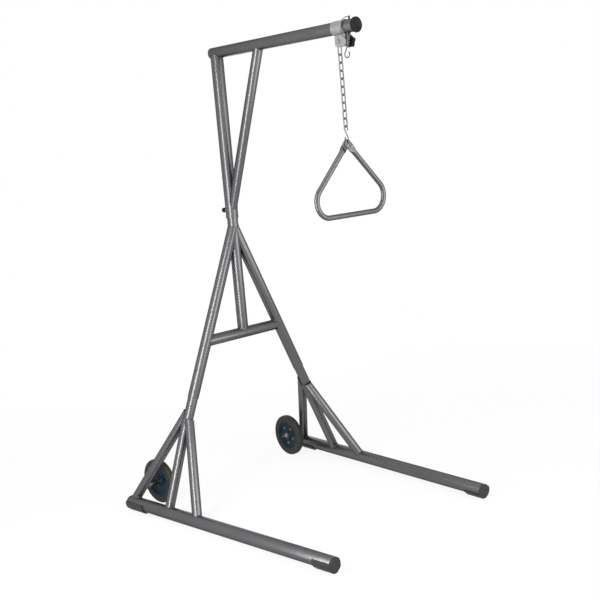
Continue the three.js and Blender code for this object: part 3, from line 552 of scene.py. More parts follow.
for name, values in finish_values.items():
    finishes[name] = plain_finish(name, *values)
print("finishes", sorted(finishes))

# %% [markdown]
# Each side frame is a long tube on rubber feet with three struts that lean together in a knuckle.
# Left and right are mirror images with a slight toe-in, so one function of the side makes both.

# %% Directions of the side frames
def base_axis(side, x):
    """A point on a base tube's axis, at a distance forward of the mast."""
    return np.array([x, side * (base_half_spacing - x * math.tan(toe_in)), base_height])


def knuckle_of(side):
    return np.array([0.0, side * knuckle_half_spacing, knuckle_height])


apex = np.array([0.0, 0.0, apex_height])


def leg_direction(side):
    return unit(apex - knuckle_of(side))


def bar(start, end, radius):
    """A tube to cut against, a gap wider than it is: a point, a direction and a radius."""
    return np.asarray(start, float), unit(np.asarray(end, float) - start), radius + weld_gap


# %% Base tubes
hands = {"right": -1, "left": 1}
for hand, side in hands.items():
    ends = base_axis(side, -base_rear_reach), base_axis(side, base_front_reach)
    tube(f"base_tube_{hand}", "frame", *ends, base_radius, base_wall, sides=96)
print("base tubes", [len(thing.data.vertices) for thing in made])

# %% [markdown]
# The feet are moulded rubber sleeves that cradle the tube from below, turned a little outboard, so
# that their outer edge stands higher than the inner one. Their section is a half ring with a narrow
# sole pressed down to the floor. A thick disc closes the tube's end: it touches the line of the
# tube above and of the sleeve below.

# %% Rubber feet
pad_radius, pad_bore = base_radius + pad_wall, base_radius + weld_gap
disc_radius, sole_ease = base_radius + pad_wall / 2, 1.2


def sleeve(side, start, length, direction):
    """Half rings under a tube, with their sole drawn down to the floor."""
    level = side * np.sign(direction[0]) * np.array([-direction[1], direction[0], 0.0])
    ease = np.array([0.0, 0.35, 1.4])
    places = np.concatenate([ease, length - ease[::-1]])
    radii = pad_radius - np.array([1.4, 0.35, 0.0, 0.0, 0.35, 1.4])
    angle = np.linspace(-pad_roll, math.pi - pad_roll, 97)
    across, drop = np.cos(angle), np.sin(angle)
    width, depth = radii[:, None] * across, radii[:, None] * drop
    wall = np.clip((sole_half_width + sole_ease - np.abs(width)) / sole_ease, 0, 1)
    under = np.where(drop > 0, wall, 0) * (base_height - (pad_radius - radii[:, None]) - depth)
    points = start + places[:, None, None] * direction + width[..., None] * level
    points[..., 2] = start[2] - depth - under
    inner = start + places[:, None, None] * direction + pad_bore * across[None, :, None] * level
    inner[..., 2] = start[2] - pad_bore * drop
    return shell_faces(points, inner)


def end_disc(start, direction):
    """A turned disc with a round rim and, inside the rim, a shallow dish with a raised ring."""
    rim = rounded_corner(disc_radius, pad_disc_thickness, 2.2, -1, -1, 7)[::-1]
    back = rounded_corner(disc_radius, weld_gap, 0.5, -1, 1)
    face = [(24.2, 7.0), (23.3, 6.1), (16.2, 6.1), (15.5, 6.6), (13.9, 6.6), (13.2, 6.1), (0, 6.1)]
    return turned([(0, weld_gap), *back, *rim, *face], start, direction, sides=96, closed=False)


def foot(side, inner_x, end_x):
    inner, end = base_axis(side, inner_x), base_axis(side, end_x)
    direction = unit(end - inner)
    length = np.linalg.norm(end - inner) + pad_disc_thickness
    return joined(sleeve(side, inner, length, direction), end_disc(end - (0, 0, pad_wall / 2), direction))


for hand, side in hands.items():
    ends = {"rear": (rear_pad_length - base_rear_reach, -base_rear_reach),
            "front": (base_front_reach - front_pad_length, base_front_reach)}
    for which, reaches in ends.items():
        dress(f"foot_{which}_{hand}", foot(side, *reaches), "frame", "foot_rubber", 50)

# %% [markdown]
# Struts, legs and posts are straight tubes whose ends are sawn to the curve of what they meet.
# The end of each line along the tube is where it meets the other cylinder, a square root away,
# so the cut is exact and needs no boolean. The same loop then carries the weld.

# %% Struts, stubs and legs
def stub_foot(side):
    return knuckle_of(side) - stub_drop * leg_direction(side)


def strut_meeting(side):
    """Where the middle lines of the three struts of a side meet."""
    return knuckle_of(side) + (strut_meeting_x, 0, 0)


def strut_bar(side, which):
    return bar(base_axis(side, strut_feet[which]), strut_meeting(side), strut_radius)


def strut_shape(side, which):
    """A strut sawn to the base tube below, and above to the stub, its lower end, or the middle strut."""
    stub_end, up = stub_foot(side), leg_direction(side)
    base = bar(base_axis(side, -base_rear_reach), base_axis(side, base_front_reach), base_radius)
    stub = bar(stub_end, stub_end + up, stub_radius)
    below_stub = (stub_end - weld_gap * up, up)
    middle = strut_bar(side, "middle")
    cuts = {"rear": [stub, middle], "middle": [below_stub], "front": [below_stub, middle]}
    ends = base_axis(side, strut_feet[which]), strut_meeting(side)
    return *ends, strut_radius, tube_wall, [base], cuts[which]


for hand, side in hands.items():
    for which in strut_feet:
        welds = [f"weld_strut_{which}_{end}_{hand}" for end in ("low", "high")]
        tube(f"strut_{which}_{hand}", "frame", *strut_shape(side, which), welds=welds)
    stub_top = knuckle_of(side) + (leg_start + stub_insertion) * leg_direction(side)
    tube(f"stub_tube_{hand}", "frame", stub_foot(side), stub_top, stub_radius, tube_wall)

# %% Legs with their snap buttons
post_bar = bar([0, 0, brace_height], apex, centre_post_radius)


def drilled(thing, start, end, radius):
    """Cuts a round hole through a finished mesh with a boolean, applied at once."""
    length = np.linalg.norm(np.subtract(end, start))
    profile = [(0, 0), (radius, 0), (radius, length), (0, length)]
    hole = clean_mesh("cutter", turned(profile, start, np.subtract(end, start), 32, False))
    hole.shade_flat()
    cutter = linked("cutter", hole)
    cut = thing.modifiers.new("hole", "BOOLEAN")
    cut.operation, cut.solver, cut.object = "DIFFERENCE", "EXACT", cutter
    bpy.context.view_layer.update()
    result = bpy.data.meshes.new_from_object(thing.evaluated_get(bpy.context.evaluated_depsgraph_get()))
    thing.modifiers.clear()
    thing.data = result
    bpy.data.objects.remove(cutter)


backward = np.array([-1.0, 0, 0])
button_seat, button_crown, button_play, leaf_thickness = 15.0, 2.6, 0.35, 1.2
leaf_half_width, leaf_half_length, leaf_middle, leaf_bow = 5.0, 28.0, 14.4, 5.5
for hand, side in hands.items():
    knuckle, up = knuckle_of(side), leg_direction(side)
    bottom = knuckle + leg_start * up
    ends = [post_bar, (np.array([0, side * weld_gap, 0]), np.array([0, 1.0, 0]))]
    welds = None, f"weld_leg_high_{hand}"
    leg = tube(
        f"leg_{hand}", "frame", bottom, apex, leg_radius, leg_wall, None, ends, sides=96, welds=welds
    )
    middle = bottom + button_above_leg_end * up
    drilled(leg, middle + 12 * backward, middle + 40 * backward, button_radius + button_play)
    tip = leg_radius + button_stand_out
    dome = [(button_radius * math.cos(a), tip + button_crown * (math.sin(a) - 1)) for a in quarter_turn(8)]
    button = turned([(0, button_seat), (button_radius, button_seat), *dome], middle, backward, 32, False)
    across = leaf_half_width * np.cross(up, (1.0, 0, 0))
    rows = np.linspace(-leaf_half_length, leaf_half_length, 15)
    bow = leaf_middle - leaf_bow * (rows / leaf_half_length) ** 2
    plates = []
    for depth in (0.0, leaf_thickness):
        line = middle + rows[:, None] * up + (bow - depth)[:, None] * backward
        plates.append(np.stack([line - across, line + across], axis=1))
    dress(f"leg_button_{hand}", joined(button, shell_faces(*plates)), f"leg_button_{hand}", "zinc")
print("struts, stubs and legs", len(made), "pieces so far")

# %% Cross brace and centre post
slope = knuckle_half_spacing / (apex_height - knuckle_height)
half_brace = (apex_height - brace_height) * slope
leg_bars = {side: bar(knuckle_of(side), apex, leg_radius) for side in hands.values()}
middle_of_brace = np.array([0.0, 0, brace_height])
reach = np.array([0.0, half_brace, 0])
tube(
    "cross_brace", "frame", middle_of_brace - reach, middle_of_brace + reach, brace_radius, tube_wall,
    [leg_bars[-1]], [leg_bars[1]], sides=96, welds=("weld_brace_right", "weld_brace_left"),
)
brace_bar = bar(middle_of_brace, middle_of_brace + reach, brace_radius)
top = np.array([0.0, 0, post_bottom + post_insertion])
tube(
    "centre_post", "frame", middle_of_brace, top, centre_post_radius, tube_wall,
    [brace_bar], sides=96, welds=("weld_post_foot", None),
)

# %% [markdown]
# The mast is a rear post that slips over the centre post, a front brace and the boom they carry.

# %% Mast and boom
boom_start, boom_end = np.array([boom_rear, 0, boom_height]), np.array([boom_front, 0, boom_height])
boom_bar = bar(boom_start, boom_end, boom_radius)
horn_share = 0.35
horn = np.array([0, 0, boom_height - horn_share * boom_radius])
tube(
    "rear_post", "mast", [0, 0, post_bottom], [0, 0, boom_height], post_radius, post_wall,
    None, [boom_bar, (horn, np.array([0, 0, 1.0]))], sides=112, welds=(None, "weld_post_boom"),
)
rear_post_bar = bar([0, 0, post_bottom], [0, 0, boom_height], post_radius)
tube(
    "front_brace", "mast", [0, 0, mast_brace_foot_height], [mast_brace_reach, 0, boom_height],
    mast_brace_radius, tube_wall, [rear_post_bar], [boom_bar],
    sides=112, welds=("weld_brace_post", "weld_brace_boom"),
)
tube("boom_tube", "mast", boom_start, boom_end, boom_radius, boom_wall, sides=112)

# %% [markdown]
# Black plastic closes the boom: a low crowned plug at the rear and a wide cap in front, which
# stops the hanger from leaving. Both are turned profiles with rounded rims.

# %% Boom plug and cap
plug_crown_height, cap_radius, cap_thickness = 3.8, 26.6, 7.6


def stopper(node, depth, head, start, direction):
    """A turned head on a stem that stands in the boom."""
    stem = boom_radius - boom_wall - weld_gap
    profile = [(0, -depth), (stem, -depth), (stem, 0), *head]
    dress(node, turned(profile, start, direction, 72, False), "mast", "black_plastic", 30)


crown = [(boom_radius * math.sin(a), plug_crown_height * math.cos(a)) for a in quarter_turn(14)[::-1]]
stopper("boom_rear_plug", 18, [(boom_radius, 0), *crown], boom_start - (weld_gap, 0, 0), backward)
rim = rounded_corner(cap_radius, cap_thickness, 1.8, -1, -1, 6)[::-1]
back_rim = rounded_corner(cap_radius, 0, 0.7, -1, 1)
face = [(cap_radius - 5, cap_thickness), (cap_radius - 6.5, cap_thickness - 0.8), (0, cap_thickness - 0.8)]
stopper("boom_front_cap", 14, [*back_rim, *rim, *face], boom_end + (weld_gap, 0, 0), -backward)

# %% [markdown]
# A screw with a ball end clamps the mast on the centre post. Its thread is a fine groove whose
# depth depends on the distance along the screw minus the angle round it.

# %% Lock screw
lock_point = np.array([0, 0, 1175.0])
boss_radius, boss_bore, boss_start, boss_end = 8.5, 4.3, 22.6, post_radius + 6.0
screw_radius, screw_start, ball_reach, ball_radius = 4.0, 22.5, 48.0, 10.4
boss_edge = rounded_corner(boss_radius, boss_end, 1.2, -1, -1)[::-1]
boss_profile = [(boss_bore, boss_start), (boss_radius, boss_start), *boss_edge, (boss_bore, boss_end)]
dress("lock_boss", turned(boss_profile, lock_point, backward, 40), "mast")
boss_loop = lock_point + post_radius * backward + boss_radius * spokes(backward, 60)
beads.append(("weld_lock_boss", "mast", boss_loop))


def threaded(start, direction, first, last, radius, pitch=1.25, depth=0.45, sides=28):
    """A screw: radius minus depth times a triangle wave of (distance / pitch - angle / full turn)."""
    direction = unit(direction)
    distance = np.linspace(first, last, max(8, int((last - first) / pitch * 8)))
    share = np.arange(sides) / sides
    wave = np.abs(((distance[:, None] / pitch - share[None]) % 1) * 2 - 1)
    radii = radius - depth * wave
    radii = np.vstack([np.zeros((1, sides)), radii, np.zeros((1, sides))])
    distance = np.concatenate([[first], distance, [last]])
    grid = np.asarray(start, float) + distance[:, None, None] * direction
    return sheet_faces(grid + radii[..., None] * spokes(direction, sides), wrap_v=True)


thread = threaded(lock_point, backward, screw_start, ball_reach, screw_radius)
dress("lock_screw", thread, "lock_knob", "zinc")
meridian = np.linspace(0, math.pi, 33)
flat_end = ball_reach - ball_radius + 1.0
ball = [
    (ball_radius * math.sin(a), max(ball_reach - ball_radius * math.cos(a), flat_end)) for a in meridian
]
collar = [(0, flat_end - 1.5), (5.6, flat_end - 1.5), (5.9, flat_end + 0.2)]
ball = turned(collar + ball[3:], lock_point, backward, 48, False)
dress("lock_ball", ball, "lock_knob", "black_plastic")

# %% [markdown]
# A wheel stands inboard of each rear strut, just clear of the floor, and meets it when the stand
# is tipped back. The tyre has round shoulders, two grooves and a raised ring on its wall; the hub
# is a dished disc held by five bolts.

# %% Wheels
axle_height, wheel_inset = 93.5, 88.0
tyre_radius, hub_bolt_circle, bearing_side = 92.0, 37.0, 14.35
axle_tube_radius, axle_tube_wall, axle_bolt_radius = 12.0, 6.7, 5.0


def wheel_place(side):
    """The wheel's centre, the strut's point beside it, and the outward axle direction."""
    strut_foot = base_axis(side, strut_feet["rear"])
    share = (axle_height - base_height) / (knuckle_height - base_height)
    strut_point = strut_foot + share * (strut_meeting(side) - strut_foot)
    outward = np.array([math.sin(toe_in), side * math.cos(toe_in), 0])
    return strut_point - wheel_inset * outward, strut_point, outward


def hexagon_head(centre, direction, radius, height):
    """A six-sided head with a round crown, its corners at the radius."""
    direction = unit(direction)
    folded = (full_turn(48) + math.pi / 6) % (math.pi / 3) - math.pi / 6
    hexagon = radius * math.cos(math.pi / 6) / np.cos(folded)
    shares = np.array([0.0, 1.0, 1.0, 0.93, 0.72, 0.0])[:, None]
    heights = height * np.array([0.0, 0.0, 0.8, 1.0, 1.06, 1.06])
    radii = shares * np.where(shares > 0.95, hexagon, np.minimum(hexagon, radius * 0.93))
    grid = np.asarray(centre, float) + heights[:, None, None] * direction
    return sheet_faces(grid + radii[..., None] * spokes(direction, 48), wrap_v=True)


# Half sections as (radius, distance from the wheel's middle plane). The tyre has a bead, a wall with
# a raised ring, a round shoulder and a grooved tread; the hub a rim, a dished web and a boss; the
# bearing two rings and the shield between them.
shoulder = [(81 + 11 * math.sin(a), 5.2 + 8.3 * math.cos(a)) for a in quarter_turn(10)[1:]]
tyre_half = [
    (61.3, 10.5), (62.4, 12.4), (64.3, 13.5), (70.0, 13.5), (70.8, 12.7), (73.2, 12.7), (74.0, 13.5),
    (81.0, 13.5), *shoulder, (tyre_radius, 4.4), (90.6, 3.9), (90.6, 2.7), (tyre_radius, 2.2),
]
hub_half = [
    (61.0, 12.0), (57.4, 12.0), (56.2, 11.2), (53.0, 5.6), (50.5, 4.5), (26.5, 4.5), (24.0, 5.4),
    (20.0, 11.0), (18.6, 12.0), (12.3, 12.0),
]
bearing_half = [
    (5.3, 14.0), (7.2, 14.0), (7.6, 13.5), (10.0, 13.5), (10.4, 14.0), (11.6, 14.0), (12.0, 13.6),
]
wheel_parts = {
    "tyre": (tyre_half, 128, "tyre", 55),
    "hub": (hub_half, 128, "hub_paint", 50),
    "wheel_bearing": (bearing_half, 64, "bearing_steel", 40),
}
hub_washer = [(0, 4.2), (6.6, 4.2), (6.6, 5.2), (6.2, 5.7), (0, 5.7)]

for hand, side in hands.items():
    centre, strut_point, outward = wheel_place(side)
    body = f"wheel_{hand}"
    for part, (half, sides, finish, smooth_degrees) in wheel_parts.items():
        profile = half + [(r, -d) for r, d in half[::-1]]
        dress(f"{part}_{hand}", turned(profile, centre, outward, sides), body, finish, smooth_degrees)
    bolts = []
    for ring in spokes(outward, 5):
        seat = centre + hub_bolt_circle * ring
        bolts += [turned(hub_washer, seat, -outward, 32, False)]
        bolts += [hexagon_head(seat - 5.6 * outward, -outward, 4.9, 3.4)]
    piece(f"hub_bolts_{hand}", joined(*bolts), body, "bearing_steel", (), 35)
    tube(
        f"axle_tube_{hand}", "frame", centre + bearing_side * outward, strut_point, axle_tube_radius,
        axle_tube_wall, None, [strut_bar(side, "rear")], sides=56, welds=(None, f"weld_axle_{hand}"),
    )
    near, far = -15, bearing_side + 30
    shank_profile = [(0, near), (axle_bolt_radius, near), (axle_bolt_radius, far), (0, far)]
    shank = turned(shank_profile, centre, outward, 32, False)
    head = hexagon_head(centre - bearing_side * outward, -outward, 8.5, 5.6)
    dress(f"axle_bolt_{hand}", joined(shank, head), "frame", "zinc", 35)
print("wheels", len(made), "pieces so far")

# %% Weld beads on the joints
for name, body, loop in sorted(beads, key=lambda bead: bead[1]):
    piece(name, weld_bead(loop), body, "vein_paint", smooth_degrees=80)
print("beads", len(beads))

# %% [markdown]
# The hanger is one strap of zinc sheet bent round the boom, its two ears drawn together by a bolt.
# Its middle line is a path of straight, fillet, arc, fillet and straight; the sheet is that path
# moved half a thickness either way, and its edges follow the outline cut from the flat.

# %% Hanger strap
strap_rear, strap_front, ear_front, ear_bottom = 667.0, 723.0, 717.0, 1735.0
strap_thickness, ear_gap, ear_corner, hanger_x, bolt_height = 2.6, 5.8, 12.0, 683.0, 1755.0
middle_radius = boom_radius + weld_gap + strap_thickness / 2
ear_line, fillet = ear_gap / 2 + strap_thickness / 2, 3.0


def strap_path():
    """The sheet's middle line in (y, z) round the boom's axis, from one ear's foot to the other's."""
    fillet_z = -math.sqrt((middle_radius + fillet) ** 2 - (ear_line + fillet) ** 2)
    rise = np.linspace(ear_bottom - boom_height, fillet_z, 34)
    straight = np.stack([np.full_like(rise, ear_line), rise], axis=1)
    lean = math.atan2(-fillet_z, -(ear_line + fillet))
    turn = np.linspace(math.pi, lean, 9)[1:]
    bend = arc_points((ear_line + fillet, fillet_z), fillet, turn)
    start = math.atan2(bend[-1, 1], bend[-1, 0])
    arc = arc_points((0, 0), middle_radius, np.linspace(start, math.pi / 2, 49)[1:])
    half = np.vstack([straight, bend, arc])
    return np.vstack([half, half[-2::-1] * (-1, 1)])


def strap_surface():
    path = strap_path()
    tangent = unit(np.gradient(path, axis=0))
    normal = np.stack([tangent[:, 1], -tangent[:, 0]], axis=1)
    height = np.where(path[:, 1] < -boom_radius - 1, path[:, 1] + boom_height - ear_bottom, np.inf)
    inset = ear_corner - np.sqrt(np.maximum(ear_corner**2 - np.maximum(ear_corner - height, 0) ** 2, 0))
    widen = np.clip((path[:, 1] + boom_radius + strap_thickness + 1) / 2.0, 0, 1)
    rear = strap_rear + inset
    front = ear_front - inset + (strap_front - ear_front) * widen
    share = np.linspace(0, 1, 13)
    x = rear[:, None] + (front - rear)[:, None] * share
    walls = []
    for offset in (1, -1):
        line = path + offset * strap_thickness / 2 * normal
        y = np.broadcast_to(line[:, :1], x.shape)
        z = np.broadcast_to(line[:, 1:] + boom_height, x.shape)
        walls.append(np.stack([x, y, z], axis=-1))
    return shell_faces(*walls)


dress("hanger_strap", strap_surface(), "hanger", "zinc", 50, 0.5)

# %% [markdown]
# A bolt draws the ears together. On its far side a spacer carries the spare hook, and a five-lobed
# knob closes it: its rim is a circle whose radius rises and falls five times in a turn.

# %% Clamp bolt, spacer and knob
bolt_point, forward_y = np.array([hanger_x, 0, bolt_height]), np.array([0, 1.0, 0])
ear_side = ear_gap / 2 + strap_thickness
ear_face = ear_side + weld_gap
knob_face, knob_thickness, knob_radius, knob_edge = 46.0, 16.0, 20.5, 3.0
lobe_depth, ridge_depth, first_lobe, knob_hub = 2.1, 0.22, math.radians(-56), 12.6
washer = [(0, ear_side), (8.2, ear_side), (8.2, ear_face + 0.8), (7.8, ear_face + 1.2), (0, ear_face + 1.2)]
washer = turned(washer, bolt_point, -forward_y, 40, False)
head = hexagon_head(bolt_point - (ear_face + 1.0) * forward_y, -forward_y, 7.0, 3.4)
shank = threaded(bolt_point, forward_y, -ear_face, knob_face + knob_thickness / 2, screw_radius)
dress("clamp_bolt", joined(washer, head, shank), "hanger", "zinc", 35)
spacer_end = knob_face - 3.35
spacer = [
    (4.3, ear_face), (5.4, ear_face), (6.0, ear_face + 0.6),
    (6.0, spacer_end - 0.6), (5.4, spacer_end), (4.3, spacer_end),
]
dress("clamp_spacer", turned(spacer, bolt_point, forward_y, 40), "hanger", "zinc")


def lobed_knob():
    """Radius = mean + lobe * cos(5 * (angle - first lobe)) + fine ridges, all faded out near the hub."""
    angle = full_turn(480)
    lobes = lobe_depth * np.cos(5 * (angle - first_lobe)) + ridge_depth * np.cos(60 * angle)
    near = rounded_corner(knob_radius, 0, knob_edge, -1, 1, 7)
    far = [(r, knob_thickness - d) for r, d in near[::-1]]
    hub = [(0, -3.0), (10.2, -3.0), (11.0, -2.2), (11.0, -0.6), (knob_hub, 0.0)]
    crown = [(12.0, 16.0), (10.5, 15.4), (8.0, 15.2), (0, 15.2)]
    profile = np.array(hub + near + far + crown)
    lobed = np.clip((profile[:, 0] - knob_hub) / 3.6, 0, 1)
    radii = profile[:, :1] + lobed[:, None] * lobes
    ring = circle(np.array([1.0, 0, 0]), np.array([0, 0, 1.0]), 480)
    grid = bolt_point + (knob_face + profile[:, 1])[:, None, None] * forward_y + radii[..., None] * ring
    return sheet_faces(grid, wrap_v=True)


dress("clamp_knob", lobed_knob(), "clamp_knob", "black_plastic", 45)

# %% [markdown]
# The chain is bent wire. A link is two straight sides and two half circles, welded in the middle
# of one side, and each hangs a quarter turn from the last. A hook is two arcs joined by a leaning
# shank. Both are paths for the same round wire.

# %% Chain
wire_radius, link_half_width, link_pitch, link_count = 2.3, 7.7, 27.4, 9
top_wire_height = bolt_height + screw_radius + weld_gap + wire_radius
top_link_bottom = 1709.3 - wire_radius
wire_pass = 2 * wire_radius + weld_gap


def link_surface(centre, half_length, plane_y):
    """A closed loop of wire in the XZ plane or, with plane_y, in the YZ plane."""
    straight = half_length - link_half_width
    side = np.linspace(-straight, straight, 22)[1:-1]
    right = np.stack([np.full_like(side, link_half_width), side], axis=1)
    over = arc_points((0, straight), link_half_width, np.linspace(0, math.pi, 25))
    path = np.vstack([right, over, -right, -over])
    weld = np.exp(-((path[:, 1] / 1.6) ** 2)) * (path[:, 0] > 0)
    radius = wire_radius * (1 + 0.13 * weld)
    points, normal = np.zeros((len(path), 3)), np.zeros(3)
    wide = 1 if plane_y else 0
    points[:, wide], points[:, 2], normal[1 - wide] = path[:, 0], path[:, 1], 1.0
    return carried(points + centre, radius, 14, True, normal)


def wire_piece(node, surface):
    """Dresses a link or a hook, which is a body of its own."""
    dress(node, surface, node, "chain_zinc", 80)


top_half, link_half = (top_wire_height - top_link_bottom) / 2, (link_pitch + wire_pass) / 2
centre = np.array([hanger_x, 0, top_link_bottom + top_half])
wire_piece("top_link", link_surface(centre, top_half, False))
for index in range(1, link_count + 1):
    centre = np.array([hanger_x, 0, top_link_bottom - index * link_pitch + link_half])
    wire_piece(f"chain_link_{index:02d}", link_surface(centre, link_half, index % 2 == 1))

# %% Hooks
def hook_path(radius, half_pitch, open_degrees):
    """Half of it: an arc from the opening over the top, then the leaning shank to the middle."""
    lean = math.asin(radius / half_pitch)
    arc = np.linspace(math.radians(open_degrees), math.pi + lean, 60)
    over = arc_points((0, half_pitch), radius, arc)
    shank = np.linspace(radius / math.tan(lean), 0, 9)[1:, None] * (-math.sin(lean), math.cos(lean))
    half = np.vstack([over, shank])
    whole = np.vstack([half, -half[-2::-1]])
    return np.stack([whole[:, 0], np.zeros(len(whole)), whole[:, 1]], axis=1)


chain_bottom = top_link_bottom - link_count * link_pitch
hook_radius, hook_half_pitch, hook_wire, hook_opening = 8.3, 19.0, 2.3, -52
hook_middle = chain_bottom + wire_radius + weld_gap + hook_wire - hook_half_pitch - hook_radius
spare_radius, spare_half_pitch, spare_wire, spare_opening = 11.5, 20.5, 2.2, -35
spare_y, spacer_radius = 35.0, 6.0
spare_middle = bolt_height + spacer_radius + weld_gap + spare_wire - spare_half_pitch - spare_radius
path = hook_path(hook_radius, hook_half_pitch, hook_opening) + (hanger_x, 0, hook_middle)
wire_piece("handle_hook", carried(path, hook_wire, 18, False, (0, 1, 0)))
path = hook_path(spare_radius, spare_half_pitch, spare_opening) * (-1, 1, 1)
path = path + (hanger_x, spare_y, spare_middle)
wire_piece("spare_hook", carried(path, spare_wire, 18, False, (0, 1, 0)))

# %% [markdown]
# The handle is one tube bent into a triangle. Its ends are pressed flat, which makes them half as
# wide again as the tube, and cross side by side just under the hole that the hook passes through.
# The section is a superellipse: a circle along the bar that grows wider and flatter towards each
# end, and shrinks to a round tip.

# %% Handle
handle_radius, handle_rise, corner_radius, corner_y = 9.5, 257.7, 57.0, 113.0
tab_radius, tab_thickness, tab_hole_radius, tab_drop = 14.5, 3.5, 4.4, 6.0
tab_length, tab_ease, hook_play, rivet_drop = 44.0, 24.0, 0.7, 14.0
rivet_radius, rivet_head_radius, rivet_crown_height = 3.0, 5.0, 2.0
half_stack = tab_thickness + weld_gap / 2
hook_bottom = hook_middle - hook_half_pitch - hook_radius
hook_rise = hook_radius - math.sqrt(hook_radius**2 - half_stack**2)
hole_height = hook_bottom + hook_rise + hook_wire + hook_play - tab_hole_radius
bar_height = hole_height - handle_rise
crossing_height = hole_height - tab_drop
corner_drop = handle_rise - tab_drop - corner_radius
lean = math.atan2(corner_y, corner_drop)
lean += math.asin(corner_radius / math.hypot(corner_y, corner_drop))


def handle_surface():
    """Sections along the middle line: from the round tip past the hole, down, and round the corner."""
    corner = (corner_y, bar_height + corner_radius)
    arc_end = arc_points(corner, corner_radius, lean)
    crossing = np.array([0.0, crossing_height])
    up = unit(crossing - arc_end)
    full = np.linalg.norm(crossing - arc_end)
    tab_start = arc_end + (full - tab_length) * up
    tip_angle = quarter_turn(16)[::-1]
    tip_run = tab_length + tab_radius * np.sin(tip_angle)
    tab_run = np.concatenate([tip_run, np.linspace(tab_length, 0, 40)[1:]])
    tab = tab_start + tab_run[:, None] * up
    side_run = np.linspace(full - tab_length, 0, 30)[1:]
    side = arc_end + side_run[:, None] * up
    bend = arc_points(corner, corner_radius, np.linspace(lean, -math.pi / 2, 40)[1:])
    base = np.stack([np.linspace(corner_y, 0, 16)[1:], np.full(15, bar_height)], axis=1)
    half = np.vstack([tab, side, bend, base])
    rest = len(half) - len(tab_run)
    ease = np.clip(tab_run / tab_ease, 0, 1)
    ease = np.concatenate([ease * ease * (3 - 2 * ease), np.zeros(rest)])
    tip_share = np.concatenate([np.cos(tip_angle), np.ones(len(half) - len(tip_angle))])
    thick = handle_radius + ease * (tab_thickness / 2 - handle_radius)
    wide = (handle_radius + ease * (tab_radius - handle_radius)) * tip_share
    power = 2 / (2 + 8 * ease)
    shift = ease * (tab_thickness + weld_gap) / 2
    path = np.vstack([half, half[-2::-1] * (-1, 1)])
    thick, wide, power = (np.concatenate([v, v[-2::-1]]) for v in (thick, wide, power))
    shift = np.concatenate([shift, -shift[-2::-1]])
    tangent = unit(np.gradient(path, axis=0))
    cosine, sine = np.cos(full_turn(40)), np.sin(full_turn(40))
    x = thick[:, None] * np.sign(cosine) * np.abs(cosine) ** power[:, None] + shift[:, None]
    out = wide[:, None] * np.sign(sine) * np.abs(sine) ** power[:, None]
    y = path[:, :1] + out * tangent[:, 1:]
    z = path[:, 1:] - out * tangent[:, :1]
    return sheet_faces(np.stack([x + hanger_x, y, z], axis=-1), wrap_v=True)


handle = dress("handle_tube", handle_surface(), "handle", "vein_paint", 45)
hole_centre, across_x = np.array([hanger_x, 0, hole_height]), np.array([12.0, 0, 0])
drilled(handle, hole_centre - across_x, hole_centre + across_x, tab_hole_radius)
rivet_centre, rivet_face = hole_centre - (0, 0, rivet_drop), half_stack + weld_gap
rivet_half = [(rivet_radius, 0), (rivet_radius, rivet_face), (rivet_head_radius, rivet_face)]
rivet_half += [
    (rivet_head_radius * math.cos(a), rivet_face + rivet_crown_height * math.sin(a))
    for a in quarter_turn(9)[1:]
]
halves = [turned(rivet_half, rivet_centre, direction, 36, False) for direction in (backward, -backward)]
dress("handle_rivet", joined(*halves), "handle", "zinc")

# %% [markdown]
# In front of the hanger a pin stands through the boom as an end stop. A wire bail from its neck
# snaps over the tip, so that the pin can't drop out. The pin is turned; the bail follows a curve
# that passes through a few named places.

# %% Stop pin and bail
roll, pin_radius, pin_length, bail_radius = math.radians(9.6), 3.6, 36.0, 1.3
pin_point = np.array([734.0, 0, boom_height])
pin_up = np.array([0, math.sin(roll), math.cos(roll)])
pin_out = np.array([0, -math.cos(roll), math.sin(roll)])
collar_top = -boom_radius - weld_gap
neck_top, neck_bottom = collar_top - 10, collar_top - 23
collar = [*rounded_corner(8.0, neck_top, 0.8, -1, 1), *rounded_corner(8.0, collar_top, 0.8, -1, -1)[::-1]]
tip = [(pin_radius, collar_top), (pin_radius, 33.0), (3.2, 34.6), (1.8, pin_length), (0, pin_length)]
neck = [(0, neck_bottom), (4.9, neck_bottom), (5.5, neck_bottom + 0.7), (5.5, neck_top)]
dress("stop_pin", turned(neck + collar + tip, pin_point, pin_up, 48, False), "stop_pin", "dark_steel")


def curve_through(points, steps=14):
    """A smooth curve through points: cubics whose end slopes come from their neighbours' spacing."""
    points = np.vstack([2 * points[0] - points[1], points, 2 * points[-1] - points[-2]])
    p0, p1, p2, p3 = points[:-3], points[1:-2], points[2:-1], points[3:]
    spans = (p0, p1), (p1, p2), (p2, p3)
    d0, d1, d2 = (np.sqrt(np.linalg.norm(b - a, axis=1))[:, None] for a, b in spans)
    leave = ((p1 - p0) / d0 - (p2 - p0) / (d0 + d1) + (p2 - p1) / d1) * d1
    arrive = ((p2 - p1) / d1 - (p3 - p1) / (d1 + d2) + (p3 - p2) / d2) * d1
    t = np.linspace(0, 1, steps, endpoint=False)[None, :, None]
    square = -3 * p1 + 3 * p2 - 2 * leave - arrive
    cube = 2 * p1 - 2 * p2 + leave + arrive
    p1, leave, square, cube = (v[:, None] for v in (p1, leave, square, cube))
    return np.vstack([(p1 + leave * t + square * t**2 + cube * t**3).reshape(-1, 3), points[-2]])


